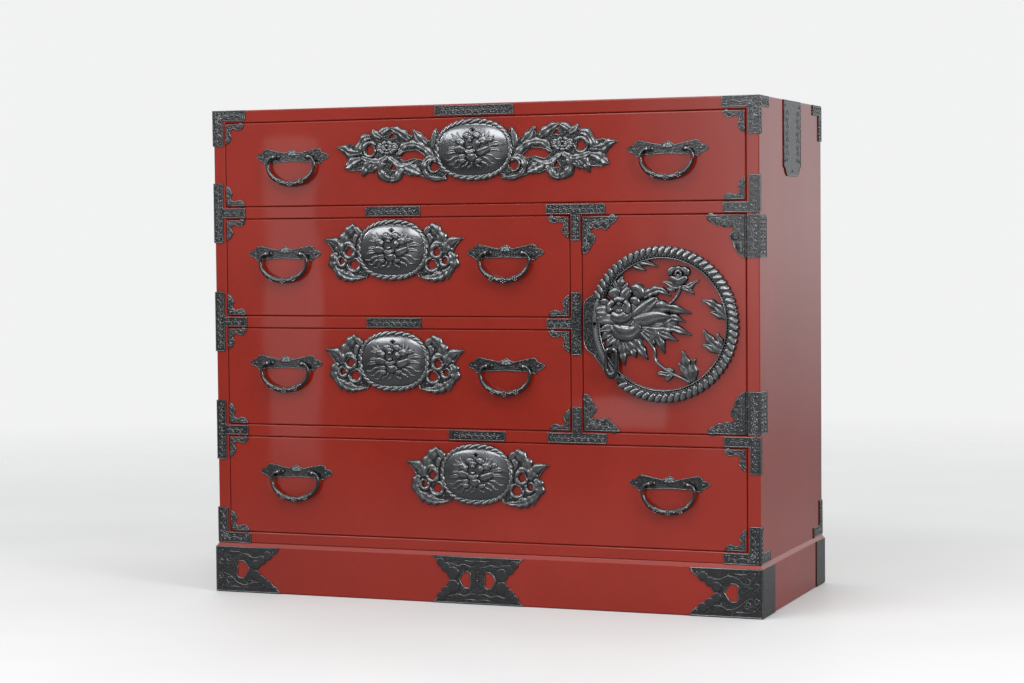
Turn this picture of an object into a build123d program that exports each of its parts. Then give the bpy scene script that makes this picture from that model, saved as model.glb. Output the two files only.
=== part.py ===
from build123d import *
import math
import os

# A merchant's chest of red lacquered boards with black iron fittings.
# Millimetres. X runs across the front, Y runs to the back, Z is up from the floor.
# The origin lies under the middle of the whole piece, at the underside of the plinth.

# Carcase sizes
CASE_WIDTH = 1060.0
CASE_DEPTH = 445.0
PANEL = 23.5
RAIL = 22.0
BOTTOM_BOARD = 21.0
DIVIDER = 22.0
BACK_PANEL = 10.0
BACK_REBATE = 8.0
SHELF = 12.0
SHELF_SETBACK = 60.0
TONGUE = 10.0
TONGUE_DEPTH = 6.0
TONGUE_STOP = 15.0
EDGE_EASE = 1.4

# Openings in the front
TOP_OPENING = 158.3
TALL_OPENING = 182.4
DOOR_OPENING = 302.5
FRONT_GAP = 1.0
RUNNING_GAP = 0.3
MOVING_CLEARANCE = 0.3

# Plinth sizes
PLINTH_HEIGHT = 94.0
PLINTH_OVERHANG = 4.0
PLINTH_BEVEL = 7.0
PLINTH_BOARD = 24.0
PLINTH_FOOT_EASE = 2.0

# Drawer sizes
DRAWER_FRONT = 20.0
DRAWER_SIDE = 12.0
DRAWER_BACK = 12.0
DRAWER_BOTTOM = 6.0
DRAWER_DEPTH = 415.0
DRAWER_TOP_DROP = 6.0
BOTTOM_RAISE = 6.0
GROOVE_DEPTH = 4.0

# Door sizes
DOOR_THICKNESS = 18.0

# Iron plate sizes
PLATE = 1.6
CORNER_ARM = 67.0
CORNER_WIDTH = 19.5
CORNER_SIDE_ARM = 60.0
CORNER_SIDE_LEG = 11.0
TEE_BAR = 112.0
TEE_ARM = 56.0
TEE_WIDTH = 18.0
TEE_SIDE_WRAP = 8.5
RAIL_PLATE_LENGTH = 110.0
TOP_PLATE_LENGTH = 154.0
REAR_ARM = 66.0
REAR_LEG = 21.0
STRAP_WIDTH = 121.5
STRAP_DROP = 136.5
STRAP_FROM_FRONT = 225.0
DRAWER_CORNER = 39.0
DOOR_CORNER = 68.0
HALF_MOON_HEIGHT = 62.0
HALF_MOON_DEPTH = 15.5

# Plinth plate sizes
PLINTH_PLATE_HEIGHT = 86.0
PLINTH_PLATE_LIFT = 1.0
PLINTH_CORNER_LENGTH = 134.5
PLINTH_CENTRE_LENGTH = 181.0
PLINTH_SIDE_WRAP = 81.0
PLINTH_REAR_WRAP = 65.0
PLINTH_FOOT_RADIUS = 5.0

# Lock plate sizes
LOCK_HALF_HEIGHT = 55.0
LOCK_OVAL_WIDTH = 141.0
LOCK_OVAL_HEIGHT = 110.0
LOCK_DOME_WIDTH = 131.0
LOCK_DOME_HEIGHT = 92.0
TOP_LOCK_OVAL_WIDTH = 150.0
TOP_LOCK_DOME_WIDTH = 138.0
WING_THICKNESS = 3.0
RIM_THICKNESS = 4.5
DOME_RISE = 9.0
KEYHOLE_RADIUS = 2.2
OVAL_SIDES = 24
OVAL_FULLNESS = 0.92
HOLE_SIDES = 7
KEYHOLE_FROM_EDGE = 25.0
KEYHOLE_ABOVE_OVAL = 34.5

# Lock case and bolt sizes
LOCK_CASE_WIDTH = 68.0
LOCK_CASE_HEIGHT = 44.0
LOCK_CASE_DEPTH = 13.0
LOCK_CASE_DROP = 2.5
LOCK_CASE_WALL = 3.0
KEY_PASSAGE = 8.0
BOLT_WIDTH = 22.0
BOLT_THICKNESS = 6.0
BOLT_LENGTH = 30.0
BOLT_TRAVEL = 10.0
BOLT_SINK = 0.5

# Handle sizes
HANDLE_HALF_HEIGHT = 15.0
HANDLE_DROP = 65.0
BAIL_DROP = 50.0
BAIL_BAR_RADIUS = 7.3
BAIL_PIVOT_REACH = 9.0
POST_WIDTH = 4.6
POST_HALF_HEIGHT = 4.0
POST_BORE_RADIUS = 2.05
POST_EASE_SHARE = 0.55
FIT_CLEARANCE = 0.05
BAIL_PIN_LENGTH = 6.5

# Door ornament sizes
RING_WIDTH = 20.0
RING_RISE = 9.5
RING_STEP = 4.0
RING_CROWN_SHARE = 0.3
RING_SIDES = 42
LOBE_THICKNESS = 3.0
LEAF_THICKNESS = 3.5
STEM_WIDTH = 5.0
PULL_FROM_RING_X = 93.0
PULL_FROM_RING_Z = 45.0
PULL_DROP = 52.0
PULL_HALF_WIDTH = 9.5
PULL_HALF_THICKNESS = 3.8
PULL_PIVOT_REACH = 13.8
PULL_POST_WIDTH = 9.0
PULL_PIN_LENGTH = 5.0
PULL_BAR_RADIUS = 6.5

# Hinge sizes
HINGE_HEIGHT = 75.0
HINGE_LEAF_WIDTH = 70.0
HINGE_SIDE_WRAP = 41.0
HINGE_KNUCKLE_RADIUS = 1.8
HINGE_BORE_RADIUS = 0.95
HINGE_KNUCKLES = 3
HINGE_KNUCKLE_GAP = 0.3

# Shares of the fronts that the ornament takes up
TOP_LOCK_SPAN_SHARE = 0.528
LOCK_SPAN_SHARE = 0.408
HANDLE_SPAN_SHARE = 0.4566
HANDLE_PLACE_SHARE = 0.4925
BAIL_SPAN_SHARE = 0.64
POST_SPACING_SHARE = 0.827
RING_RADIUS_SHARE = 0.4496

# Places worked out from the sizes above
OVERRUN = 5.0
HALF_WIDTH = CASE_WIDTH / 2
HALF_INNER = HALF_WIDTH - PANEL
FRONT_REACH = max(
    BAIL_PIVOT_REACH + BAIL_BAR_RADIUS, PULL_PIVOT_REACH + PULL_HALF_THICKNESS
)
FRONT = (FRONT_REACH - CASE_DEPTH - PLINTH_OVERHANG) / 2
BACK = FRONT + CASE_DEPTH
CASE_BOTTOM = PLINTH_HEIGHT
BOTTOM_OPENING_LOW = CASE_BOTTOM + BOTTOM_BOARD
LOWER_RAIL_LOW = BOTTOM_OPENING_LOW + TALL_OPENING
LOWER_OPENING_LOW = LOWER_RAIL_LOW + RAIL
MIDDLE_RAIL_LOW = LOWER_OPENING_LOW + TALL_OPENING
UPPER_OPENING_LOW = MIDDLE_RAIL_LOW + RAIL
UPPER_RAIL_LOW = UPPER_OPENING_LOW + TALL_OPENING
TOP_OPENING_LOW = UPPER_RAIL_LOW + RAIL
TOP_BOARD_LOW = TOP_OPENING_LOW + TOP_OPENING
CASE_TOP = TOP_BOARD_LOW + PANEL
DIVIDER_RIGHT = HALF_INNER - DOOR_OPENING
DIVIDER_LEFT = DIVIDER_RIGHT - DIVIDER
DIVIDER_CENTRE = DIVIDER_RIGHT - DIVIDER / 2
LEFT_OPENING_CENTRE = (DIVIDER_LEFT - HALF_INNER) / 2
BACK_PANEL_FRONT = BACK - BACK_PANEL
DOOR_LEFT = DIVIDER_RIGHT + FRONT_GAP
DOOR_RIGHT = HALF_INNER - FRONT_GAP
DOOR_LOW = LOWER_OPENING_LOW + FRONT_GAP
DOOR_HIGH = UPPER_RAIL_LOW - FRONT_GAP
RING_FROM_DIVIDER = DOOR_OPENING / 2
RING_CENTRE_X = DIVIDER_RIGHT + RING_FROM_DIVIDER
RING_RADIUS = DOOR_OPENING * RING_RADIUS_SHARE
RING_CENTRE_Z = (DOOR_LOW + DOOR_HIGH) / 2
HINGE_AXIS_X = (DOOR_RIGHT + HALF_INNER) / 2
HINGE_AXIS_Y = FRONT - HINGE_KNUCKLE_RADIUS - MOVING_CLEARANCE
LOCK_CENTRE_FROM_EDGE = KEYHOLE_FROM_EDGE + KEYHOLE_ABOVE_OVAL

# Lock plates and handles share the width of the fronts that carry them
WIDE_HALF = HALF_INNER - FRONT_GAP
LEFT_HALF = (DIVIDER_LEFT + HALF_INNER) / 2 - FRONT_GAP
TOP_LOCK_HALF_WIDTH = WIDE_HALF * TOP_LOCK_SPAN_SHARE
LOCK_HALF_WIDTH = LEFT_HALF * LOCK_SPAN_SHARE
WIDE_ROOM = WIDE_HALF - DRAWER_CORNER - TOP_LOCK_HALF_WIDTH
LEFT_ROOM = LEFT_HALF - DRAWER_CORNER - LOCK_HALF_WIDTH
WIDE_HANDLES = TOP_LOCK_HALF_WIDTH + WIDE_ROOM * HANDLE_PLACE_SHARE
LEFT_HANDLES = LOCK_HALF_WIDTH + LEFT_ROOM * HANDLE_PLACE_SHARE
HANDLE_HALF_WIDTH = LEFT_ROOM * HANDLE_SPAN_SHARE
BAIL_HALF_WIDTH = HANDLE_HALF_WIDTH * BAIL_SPAN_SHARE
POST_SPACING = HANDLE_HALF_WIDTH * POST_SPACING_SHARE

# Outlines run clockwise seen from the front: x share, z share, then the bulge of the
# stretch that ends there, as a share of its length and outwards when positive.
SMALL_WING_SHARES = [
    (0.43, 0.51, 0.0), (0.51, 0.60, 0.0), (0.54, 0.78, 0.0), (0.64, 0.49, 0.05),
    (0.72, 0.16, 0.0), (0.84, 0.42, 0.05), (1.0, 0.38, 0.0), (0.91, 0.15, 0.0),
    (0.855, -0.09, 0.0), (0.89, -0.44, 0.05), (0.85, -0.73, 0.0), (0.78, -1.0, 0.0),
    (0.73, -0.87, 0.0), (0.64, -0.94, 0.0), (0.55, -1.0, 0.0), (0.47, -0.91, 0.0),
    (0.37, -0.94, 0.0), (0.33, -0.70, 0.0),
]
SMALL_WING_HOLE_SHARES = [
    (0.625, -0.07, 0.052, 0.15), (0.55, -0.49, 0.072, 0.16), (0.735, -0.38, 0.036, 0.12),
]
TOP_WING_SHARES = [
    (0.23, 0.36, 0.0), (0.273, 0.74, 0.0), (0.303, 0.44, 0.0), (0.333, 0.30, 0.0),
    (0.39, 0.60, 0.0), (0.438, 0.69, 0.0), (0.453, 0.47, 0.0), (0.487, 0.56, 0.05),
    (0.502, 0.53, 0.0), (0.528, 0.69, 0.05), (0.588, 0.76, 0.0), (0.655, 0.69, 0.05),
    (0.723, 0.49, 0.0), (0.742, 0.71, 0.0), (0.772, 0.53, 0.0), (0.831, 0.51, 0.05),
    (0.869, 0.22, 0.05), (0.925, 0.27, 0.0), (1.0, 0.14, 0.0), (0.944, -0.09, 0.05),
    (0.88, -0.27, 0.0), (0.963, -0.45, 0.0), (0.918, -0.65, 0.0), (0.839, -0.63, 0.0),
    (0.82, -0.80, 0.0), (0.79, -0.69, 0.0), (0.693, -0.60, 0.0), (0.67, -0.87, 0.05),
    (0.607, -1.01, 0.05), (0.547, -0.87, 0.05), (0.517, -0.73, 0.0), (0.479, -0.81, 0.0),
    (0.39, -0.84, 0.0), (0.281, -1.0, 0.05), (0.225, -0.91, 0.0), (0.18, -0.75, 0.0),
]
TOP_WING_HOLE_SHARES = [(0.288, -0.53, 0.034, 0.17), (0.768, 0.05, 0.03, 0.19)]
TOP_WING_LENS_SHARES = [
    (0.356, -0.22, 0.0), (0.42, 0.0, 0.05), (0.494, -0.02, 0.0), (0.558, -0.16, 0.0),
    (0.517, -0.34, 0.0), (0.442, -0.24, 0.0), (0.375, -0.31, 0.0),
]
TOP_WING_GAP_SHARES = [
    [(0.55, -0.65, 0.0), (0.60, -0.43, 0.0), (0.622, -0.61, 0.0)],
    [(0.573, 0.45, 0.0), (0.60, 0.60, 0.0), (0.629, 0.42, 0.0)],
]
HANDLE_PLATE_SHARES = [
    (0.0, 0.9, 0.0), (0.12, 0.6, 0.0), (0.17, 0.43, 0.0), (0.70, 0.97, 0.0),
    (0.79, 0.80, 0.0), (0.82, 0.40, 0.0), (0.92, 0.36, 0.05), (1.0, -0.05, 0.05),
    (0.92, -0.42, 0.05), (0.83, -0.55, 0.0), (0.76, -1.0, 0.0), (0.53, -0.76, 0.0), (0.0, -0.63, 0.0),
]
DRAWER_CORNER_SHARES = [
    (0.0, 0.0, 0.0), (1.0, 0.0, 0.0), (0.92, -0.19, 0.05), (0.78, -0.29, 0.0), (0.64, -0.30, 0.0),
    (0.42, -0.21, 0.0), (0.25, -0.32, 0.0), (0.24, -0.45, 0.0), (0.33, -0.62, 0.05),
    (0.20, -0.82, 0.05), (0.05, -0.96, 0.0), (0.0, -1.0, 0.0),
]
DOOR_CORNER_SHARES = [
    (0.0, 0.0, 0.0), (1.0, 0.0, 0.0), (0.90, -0.15, 0.0), (0.76, -0.24, 0.0), (0.64, -0.37, 0.0),
    (0.52, -0.29, 0.05), (0.39, -0.35, 0.0), (0.25, -0.27, -0.05), (0.22, -0.38, 0.0), (0.37, -0.57, 0.0),
    (0.27, -0.73, 0.05), (0.15, -0.93, 0.0), (0.0, -0.98, 0.05),
]
HINGE_LEAF_SHARES = [
    (0.0, 0.0, 0.0), (0.0, -1.0, 0.0), (-0.05, -1.0, 0.0), (-0.18, -0.90, 0.0), (-0.28, -0.75, 0.0),
    (-0.30, -0.64, 0.0), (-0.40, -0.50, 0.05), (-0.25, -0.34, 0.0), (-0.30, -0.20, -0.05),
    (-0.42, -0.30, 0.0), (-0.53, -0.22, 0.05), (-0.70, -0.27, 0.05), (-0.79, -0.20, 0.0),
    (-0.92, -0.12, 0.0), (-1.0, 0.0, 0.0),
]
HALF_MOON_SHARES = [
    (1.0, -1.0, 0.0), (0.35, -0.72, 0.05), (0.0, 0.0, 0.05), (0.35, 0.72, 0.05), (1.0, 1.0, 0.05),
]
PLINTH_CENTRE_SHARES = [
    (0.0, 1.0, 0.0), (1.0, 1.0, 0.0), (0.85, 0.76, 0.0), (0.76, 0.52, 0.0), (0.72, 0.34, 0.0),
    (0.60, 0.20, 0.05), (0.55, 0.0, 0.0), (0.60, -0.24, 0.0), (0.72, -0.40, 0.05),
    (0.78, -0.58, 0.0), (0.87, -0.80, 0.0), (1.0, -1.0, 0.0), (0.0, -1.0, 0.0),
]
PLINTH_CENTRE_HOLE_SHARES = [
    (0.17, 0.0, 0.0), (0.16, 0.26, 0.0), (0.20, 0.34, 0.0), (0.27, 0.33, 0.0), (0.33, 0.22, 0.0),
    (0.38, 0.02, 0.0), (0.33, -0.18, 0.0), (0.27, -0.31, 0.0), (0.20, -0.32, 0.0), (0.16, -0.24, 0.0),
]
PLINTH_CORNER_SHARES = [
    (0.0, 1.0, 0.0), (1.0, 1.0, 0.0), (1.0, -1.0, 0.0), (0.0, -1.0, 0.0),
    (0.04, -0.78, 0.0), (0.11, -0.62, 0.0), (0.22, -0.46, 0.05), (0.31, -0.24, 0.05), (0.385, 0.0, 0.05),
    (0.31, 0.24, 0.05), (0.22, 0.46, 0.05), (0.11, 0.62, 0.05), (0.04, 0.78, 0.0),
]
PLINTH_CORNER_HOLE_SHARES = [
    (0.48, 0.02, 0.0), (0.54, 0.28, 0.0), (0.575, 0.36, 0.0), (0.64, 0.34, 0.0), (0.665, 0.22, 0.0),
    (0.65, 0.0, 0.0), (0.665, -0.22, 0.0), (0.64, -0.34, 0.0), (0.575, -0.36, 0.0), (0.54, -0.26, 0.0),
]
STRAP_SHARES = [
    (-0.5, 0.0, 0.0), (0.5, 0.0, 0.0), (0.5, -0.88, 0.0), (0.42, -0.91, 0.0), (0.40, -0.95, 0.0),
    (0.31, -1.0, 0.0), (-0.31, -1.0, 0.0), (-0.40, -0.95, 0.0), (-0.42, -0.91, 0.0), (-0.5, -0.88, 0.0),
]
BAIL_PATH_SHARES = [
    (0.74, 0.0, 0.3), (0.90, -0.05, 0.32), (1.0, -0.26, 0.36), (0.95, -0.52, 0.46),
    (0.74, -0.77, 0.7), (0.40, -0.94, 0.95), (0.0, -1.0, 1.0),
]
PULL_PATH_SHARES = [
    (0.62, 0.0, 0.34), (0.90, -0.08, 0.32), (1.0, -0.45, 0.34), (0.86, -0.74, 0.5), (0.0, -0.88, 1.0),
]
LOBE_SHARES = [
    (-0.60, -0.72, 0.0), (-0.77, -0.69, 0.05), (-0.86, -0.53, 0.0), (-0.95, -0.41, 0.05),
    (-1.05, -0.34, 0.0), (-1.09, -0.23, 0.05), (-1.09, 0.23, 0.0), (-1.05, 0.32, 0.05),
    (-0.96, 0.38, 0.0), (-0.86, 0.42, 0.0), (-0.60, 0.0, 0.0),
]
RING_GAP_SHARES = [(0.0, 0.0, 0.0), (-1.3, -1.57, 0.0), (-1.3, 0.52, 0.0)]
FLOWER_SHARES = [
    (-0.86, 0.28, 0.0), (-0.66, 0.46, 0.05), (-0.60, 0.68, 0.0), (-0.53, 0.55, 0.0),
    (-0.45, 0.63, 0.0), (-0.44, 0.46, 0.0), (-0.20, 0.45, 0.05), (-0.07, 0.50, 0.0),
    (0.17, 0.38, 0.0), (0.40, 0.15, 0.05), (0.29, 0.05, 0.0), (0.40, -0.14, 0.0),
    (0.19, -0.21, 0.0), (0.04, -0.37, 0.0), (-0.09, -0.22, 0.0), (-0.16, -0.46, 0.0),
    (-0.38, -0.42, 0.0), (-0.48, -0.55, 0.0), (-0.55, -0.40, 0.0), (-0.74, -0.36, 0.0),
    (-0.85, -0.15, 0.0),
]
BUD_SHARES = [
    (0.15, 0.63, 0.0), (0.03, 0.56, 0.0), (0.14, 0.71, 0.05), (0.27, 0.73, 0.05),
    (0.38, 0.66, 0.05), (0.49, 0.58, 0.0), (0.36, 0.53, 0.0), (0.43, 0.40, 0.0),
    (0.31, 0.48, 0.0),
]
TOP_LEAF_SHARES = [
    (-0.62, 0.69, 0.0), (-0.40, 0.845, 0.05), (-0.21, 0.87, 0.05), (-0.04, 0.78, 0.05), (-0.17, 0.72, 0.05),
]
UPPER_LEAF_SHARES = [
    (0.88, 0.10, 0.0), (0.66, 0.19, 0.05), (0.67, 0.26, 0.0), (0.53, 0.33, 0.05), (0.86, 0.24, 0.05),
]
LOWER_LEAF_SHARES = [
    (0.84, -0.32, 0.0), (0.52, -0.24, 0.05), (0.60, -0.18, 0.0),
    (0.54, -0.06, 0.05), (0.72, -0.10, 0.05), (0.86, -0.30, 0.05),
]
BRANCH_LEAF_SHARES = [
    (0.40, -0.79, 0.0), (0.28, -0.53, 0.05), (0.29, -0.35, 0.05),
    (0.37, -0.48, 0.05), (0.44, -0.44, 0.0), (0.45, -0.77, 0.05),
]
BRANCH_TIP_SHARES = [
    (0.22, -0.72, 0.0), (0.03, -0.80, 0.05), (0.05, -0.73, 0.0), (-0.02, -0.70, 0.0), (0.16, -0.66, 0.05),
]
BRANCH_STEM_SHARES = [(-0.10, -0.25), (-0.05, -0.46), (0.15, -0.63), (0.42, -0.80)]
BUD_STEM_SHARES = [(-0.05, 0.34), (0.22, 0.42), (0.27, 0.55)]
# Petals: centre x and z, half length, half width, turn in degrees, all but the turn as shares
PETAL_SHARES = [
    (-0.52, 0.24, 0.12, 0.11, 0), (-0.57, 0.40, 0.11, 0.09, 25), (-0.34, 0.38, 0.12, 0.10, 165),
    (-0.75, 0.22, 0.13, 0.08, 15), (-0.20, 0.22, 0.20, 0.08, 35), (-0.08, 0.08, 0.19, 0.09, 8),
    (-0.48, 0.10, 0.12, 0.05, 15), (-0.70, 0.03, 0.16, 0.08, 5), (-0.44, -0.05, 0.14, 0.08, 12),
    (-0.62, -0.19, 0.15, 0.09, 10),
]
PETAL_RISE_SHARES = [0.85, 0.9, 0.95, 0.7, 0.9, 0.85, 1.0, 0.75, 0.9, 0.7]
PETAL_SIDES = 7
PETAL_RISE = 5.2
BAR_SIDES = 6
BARREL_SIDES = 10
BORE_SIDES = 10
PETAL_SECTION_SHARES = [(1.0, 0.0), (0.72, 0.72), (0.3, 1.0)]
RIM_SECTION_SHARES = [(1.0, 0.0), (1.0, 0.6), (0.975, 1.0)]
DOME_SECTION_SHARES = [(1.0, 0.0), (0.86, 0.5), (0.55, 0.86), (0.2, 1.0)]


def span_box(x, y, z):
    """Box between the two ends given on each axis."""
    corner = Pos(min(x), min(y), min(z))
    sizes = (max(x) - min(x), max(y) - min(y), max(z) - min(z))
    return corner * Box(*sizes, align=(Align.MIN, Align.MIN, Align.MIN))


def front_plane(x=0, z=0, y=FRONT):
    """Plane on the front, drawn with x to the right and z up, facing the viewer."""
    return Plane(origin=(x, y, z), x_dir=(1, 0, 0), z_dir=(0, -1, 0))


def side_plane(y=FRONT, z=0, x=HALF_WIDTH):
    """Plane on the right side, drawn with y to the right and z up, facing outwards."""
    return Plane(origin=(x, y, z), x_dir=(0, 1, 0), z_dir=(1, 0, 0))


def outline(shares, width, height):
    """Face inside a run of lines and arcs, from points given as shares of two sizes."""
    points = [Vector(x * width, z * height) for x, z, bulge in shares]
    edges = []
    for index, (_, _, bulge) in enumerate(shares):
        start, end = points[index - 1], points[index]
        if bulge:
            edges.append(SagittaArc(start, end, bulge * (end - start).length))
        else:
            edges.append(Line(start, end))
    return make_face(edges)


def around(half_width, half_height, sides, fullness=1.0):
    """Corners of a many-sided oval, fuller than an ellipse where fullness is under one."""
    points = []
    for index in range(sides):
        turn = 2 * math.pi * index / sides
        x, z = (math.copysign(abs(part) ** fullness, part) for part in (math.cos(turn), math.sin(turn)))
        points.append((x * half_width, z * half_height))
    return points


def bore_face(radius):
    """Many-sided opening that just clears a circle of the given radius."""
    return RegularPolygon(radius, BORE_SIDES, major_radius=False)


def facet(*corners):
    """Flat face through three or more corners."""
    return Face(Wire.make_polygon(corners))


def stacked_block(levels):
    """Solid with flat sides through outlines of one shape, each at its own height."""
    rings = [[Vector(x, z, height) for x, z in points] for points, height in levels]
    faces = [facet(*rings[0]), facet(*rings[-1])]
    for near, far in zip(rings, rings[1:]):
        for index in range(len(near)):
            faces.append(facet(near[index - 1], near[index], far[index], far[index - 1]))
    return Solid(Shell(faces))


def round_hole(share, width, height):
    """Rounded opening from its centre and half sizes, as shares of the wing."""
    x, z, half_width, half_height = share
    corners = around(half_width * width, half_height * height, HOLE_SIDES)
    return Pos(x * width, z * height) * Polygon(*corners, align=None)


def both_sides(shape):
    """The shape and its mirror image across the middle of the chest."""
    return [shape, mirror(shape, about=Plane.YZ)]


def ease_front(board, axis):
    """Eases the front edges of a board that run along the given axis."""
    edges = board.edges().filter_by(axis).group_by(Axis.Y)[0]
    return chamfer(edges, EDGE_EASE)


def solids_of(shapes):
    """All the solids in a list of shapes."""
    return [solid for shape in shapes for solid in shape.solids()]


# Carcase


def tongue_span(low, thickness):
    """Height range of the tongue in the middle of a board's edge."""
    middle = low + thickness / 2
    return (middle - TONGUE / 2, middle + TONGUE / 2)


def tongue(x, z, front_stop=TONGUE_STOP):
    """Tongue that ends behind the front edge, so that it doesn't show."""
    return span_box(x, (FRONT + front_stop, BACK_PANEL_FRONT), z)


def side_tongue(side, low, thickness, front_stop=TONGUE_STOP):
    """Tongue that enters the left or right side panel."""
    reach = side * (HALF_INNER + TONGUE_DEPTH)
    return tongue((side * HALF_INNER, reach), tongue_span(low, thickness), front_stop)


def side_panel(side):
    """Side board with a mitred top, housings for the shelves and a rebate at the back."""
    profile = make_face(
        Polyline(
            (HALF_INNER, CASE_BOTTOM), (HALF_INNER, TOP_BOARD_LOW),
            (HALF_WIDTH, CASE_TOP), (HALF_WIDTH, CASE_BOTTOM), close=True,
        )
    )
    panel = extrude(front_plane() * profile, amount=-CASE_DEPTH)
    if side < 0:
        panel = mirror(panel, about=Plane.YZ)
    for low, thickness in housed_levels(side):
        panel -= side_tongue(side, low, thickness)
    if side > 0:
        panel -= shelf_tongue(HALF_INNER, HALF_INNER + TONGUE_DEPTH)
    rebate = (side * HALF_INNER, side * (HALF_INNER + BACK_REBATE))
    panel -= span_box(rebate, (BACK_PANEL_FRONT, BACK), (CASE_BOTTOM, TOP_BOARD_LOW + BACK_REBATE))
    return ease_front(panel, Axis.Z)


def housed_levels(side):
    """Lower face and thickness of each board that enters a side panel."""
    levels = [(CASE_BOTTOM, BOTTOM_BOARD), (LOWER_RAIL_LOW, RAIL), (UPPER_RAIL_LOW, RAIL)]
    if side < 0:
        levels.append((MIDDLE_RAIL_LOW, RAIL))
    return levels


def top_board():
    """Top board, mitred to both sides, with a lock mortise and a rebate at the back."""
    profile = make_face(
        Polyline(
            (-HALF_WIDTH, CASE_TOP), (HALF_WIDTH, CASE_TOP),
            (HALF_INNER, TOP_BOARD_LOW), (-HALF_INNER, TOP_BOARD_LOW), close=True,
        )
    )
    board = extrude(front_plane() * profile, amount=-CASE_DEPTH)
    board -= span_box(
        (-HALF_INNER - BACK_REBATE, HALF_INNER + BACK_REBATE),
        (BACK_PANEL_FRONT, BACK),
        (TOP_BOARD_LOW, TOP_BOARD_LOW + BACK_REBATE),
    )
    board -= drawer_mortise(0, TOP_BOARD_LOW)
    return ease_front(board, Axis.X)


def shelf_board(low, thickness, left, right):
    """Plain board that runs from the front to the back panel."""
    return span_box((left, right), (FRONT, BACK_PANEL_FRONT), (low, low + thickness))


def full_shelf(low, thickness):
    """Board as wide as the inside, with a tongue at each end."""
    board = shelf_board(low, thickness, -HALF_INNER, HALF_INNER)
    for side in (-1, 1):
        board += side_tongue(side, low, thickness)
    return board


def divider_tongue(low, high):
    """Tongue on an end of the centre divider."""
    middle = (TONGUE / 2, -TONGUE / 2)
    return tongue([DIVIDER_CENTRE + offset for offset in middle], (low, high))


def upper_rail_board():
    """Board under the top drawer."""
    board = full_shelf(UPPER_RAIL_LOW, RAIL)
    board -= divider_tongue(UPPER_RAIL_LOW, UPPER_RAIL_LOW + TONGUE_DEPTH)
    board -= drawer_mortise(LEFT_OPENING_CENTRE, UPPER_RAIL_LOW)
    return ease_front(board, Axis.X)


def lower_rail_board():
    """Board over the bottom drawer."""
    board = full_shelf(LOWER_RAIL_LOW, RAIL)
    board -= divider_tongue(LOWER_OPENING_LOW - TONGUE_DEPTH, LOWER_OPENING_LOW)
    board -= drawer_mortise(0, LOWER_RAIL_LOW)
    return ease_front(board, Axis.X)


def middle_rail_board():
    """Short board between the two left drawers."""
    board = shelf_board(MIDDLE_RAIL_LOW, RAIL, -HALF_INNER, DIVIDER_LEFT)
    board += side_tongue(-1, MIDDLE_RAIL_LOW, RAIL)
    board += middle_rail_tongue()
    board -= drawer_mortise(LEFT_OPENING_CENTRE, MIDDLE_RAIL_LOW)
    return ease_front(board, Axis.X)


def middle_rail_tongue():
    """Tongue of the short board in the divider."""
    return tongue((DIVIDER_LEFT, DIVIDER_LEFT + TONGUE_DEPTH), tongue_span(MIDDLE_RAIL_LOW, RAIL))


def shelf_low():
    """Lower face of the cupboard shelf, halfway up the door."""
    return RING_CENTRE_Z - SHELF / 2


def shelf_tongue(left, right):
    """End of the cupboard shelf in its housing, as thick as the shelf."""
    depth = (FRONT + SHELF_SETBACK, BACK_PANEL_FRONT)
    return span_box((left, right), depth, (shelf_low(), shelf_low() + SHELF))


def cupboard_shelf():
    """Fixed shelf behind the door."""
    return shelf_tongue(DIVIDER_RIGHT - TONGUE_DEPTH, HALF_INNER + TONGUE_DEPTH)


def centre_divider():
    """Upright between the left drawers and the cupboard."""
    board = span_box(
        (DIVIDER_LEFT, DIVIDER_RIGHT), (FRONT, BACK_PANEL_FRONT), (LOWER_OPENING_LOW, UPPER_RAIL_LOW)
    )
    board += divider_tongue(LOWER_OPENING_LOW - TONGUE_DEPTH, LOWER_OPENING_LOW)
    board += divider_tongue(UPPER_RAIL_LOW, UPPER_RAIL_LOW + TONGUE_DEPTH)
    board -= middle_rail_tongue()
    board -= shelf_tongue(DIVIDER_RIGHT - TONGUE_DEPTH, DIVIDER_RIGHT)
    board -= door_mortise()
    return ease_front(board, Axis.Z)


def back_panel():
    """Thin panel in the rebates at the back."""
    reach = HALF_INNER + BACK_REBATE
    return span_box((-reach, reach), (BACK_PANEL_FRONT, BACK), (CASE_BOTTOM, TOP_BOARD_LOW + BACK_REBATE))


# Plinth


def plinth_frame():
    """Base frame with a sloped top edge that meets the carcase."""
    middle_y = (FRONT + BACK) / 2
    sizes = (CASE_WIDTH + 2 * PLINTH_OVERHANG, CASE_DEPTH + 2 * PLINTH_OVERHANG)
    foot = Pos(0, middle_y, 0) * extrude(Rectangle(*sizes), amount=PLINTH_HEIGHT - PLINTH_BEVEL)
    foot = chamfer(foot.faces().sort_by(Axis.Z)[0].edges(), PLINTH_FOOT_EASE)
    slope = math.degrees(math.atan2(PLINTH_OVERHANG, PLINTH_BEVEL))
    crown = extrude(Rectangle(*sizes), amount=PLINTH_BEVEL, taper=slope)
    frame = foot + Pos(0, middle_y, PLINTH_HEIGHT - PLINTH_BEVEL) * crown
    hollow = Rectangle(sizes[0] - 2 * PLINTH_BOARD, sizes[1] - 2 * PLINTH_BOARD)
    return frame - Pos(0, middle_y, 0) * extrude(hollow, amount=PLINTH_HEIGHT)


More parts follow.
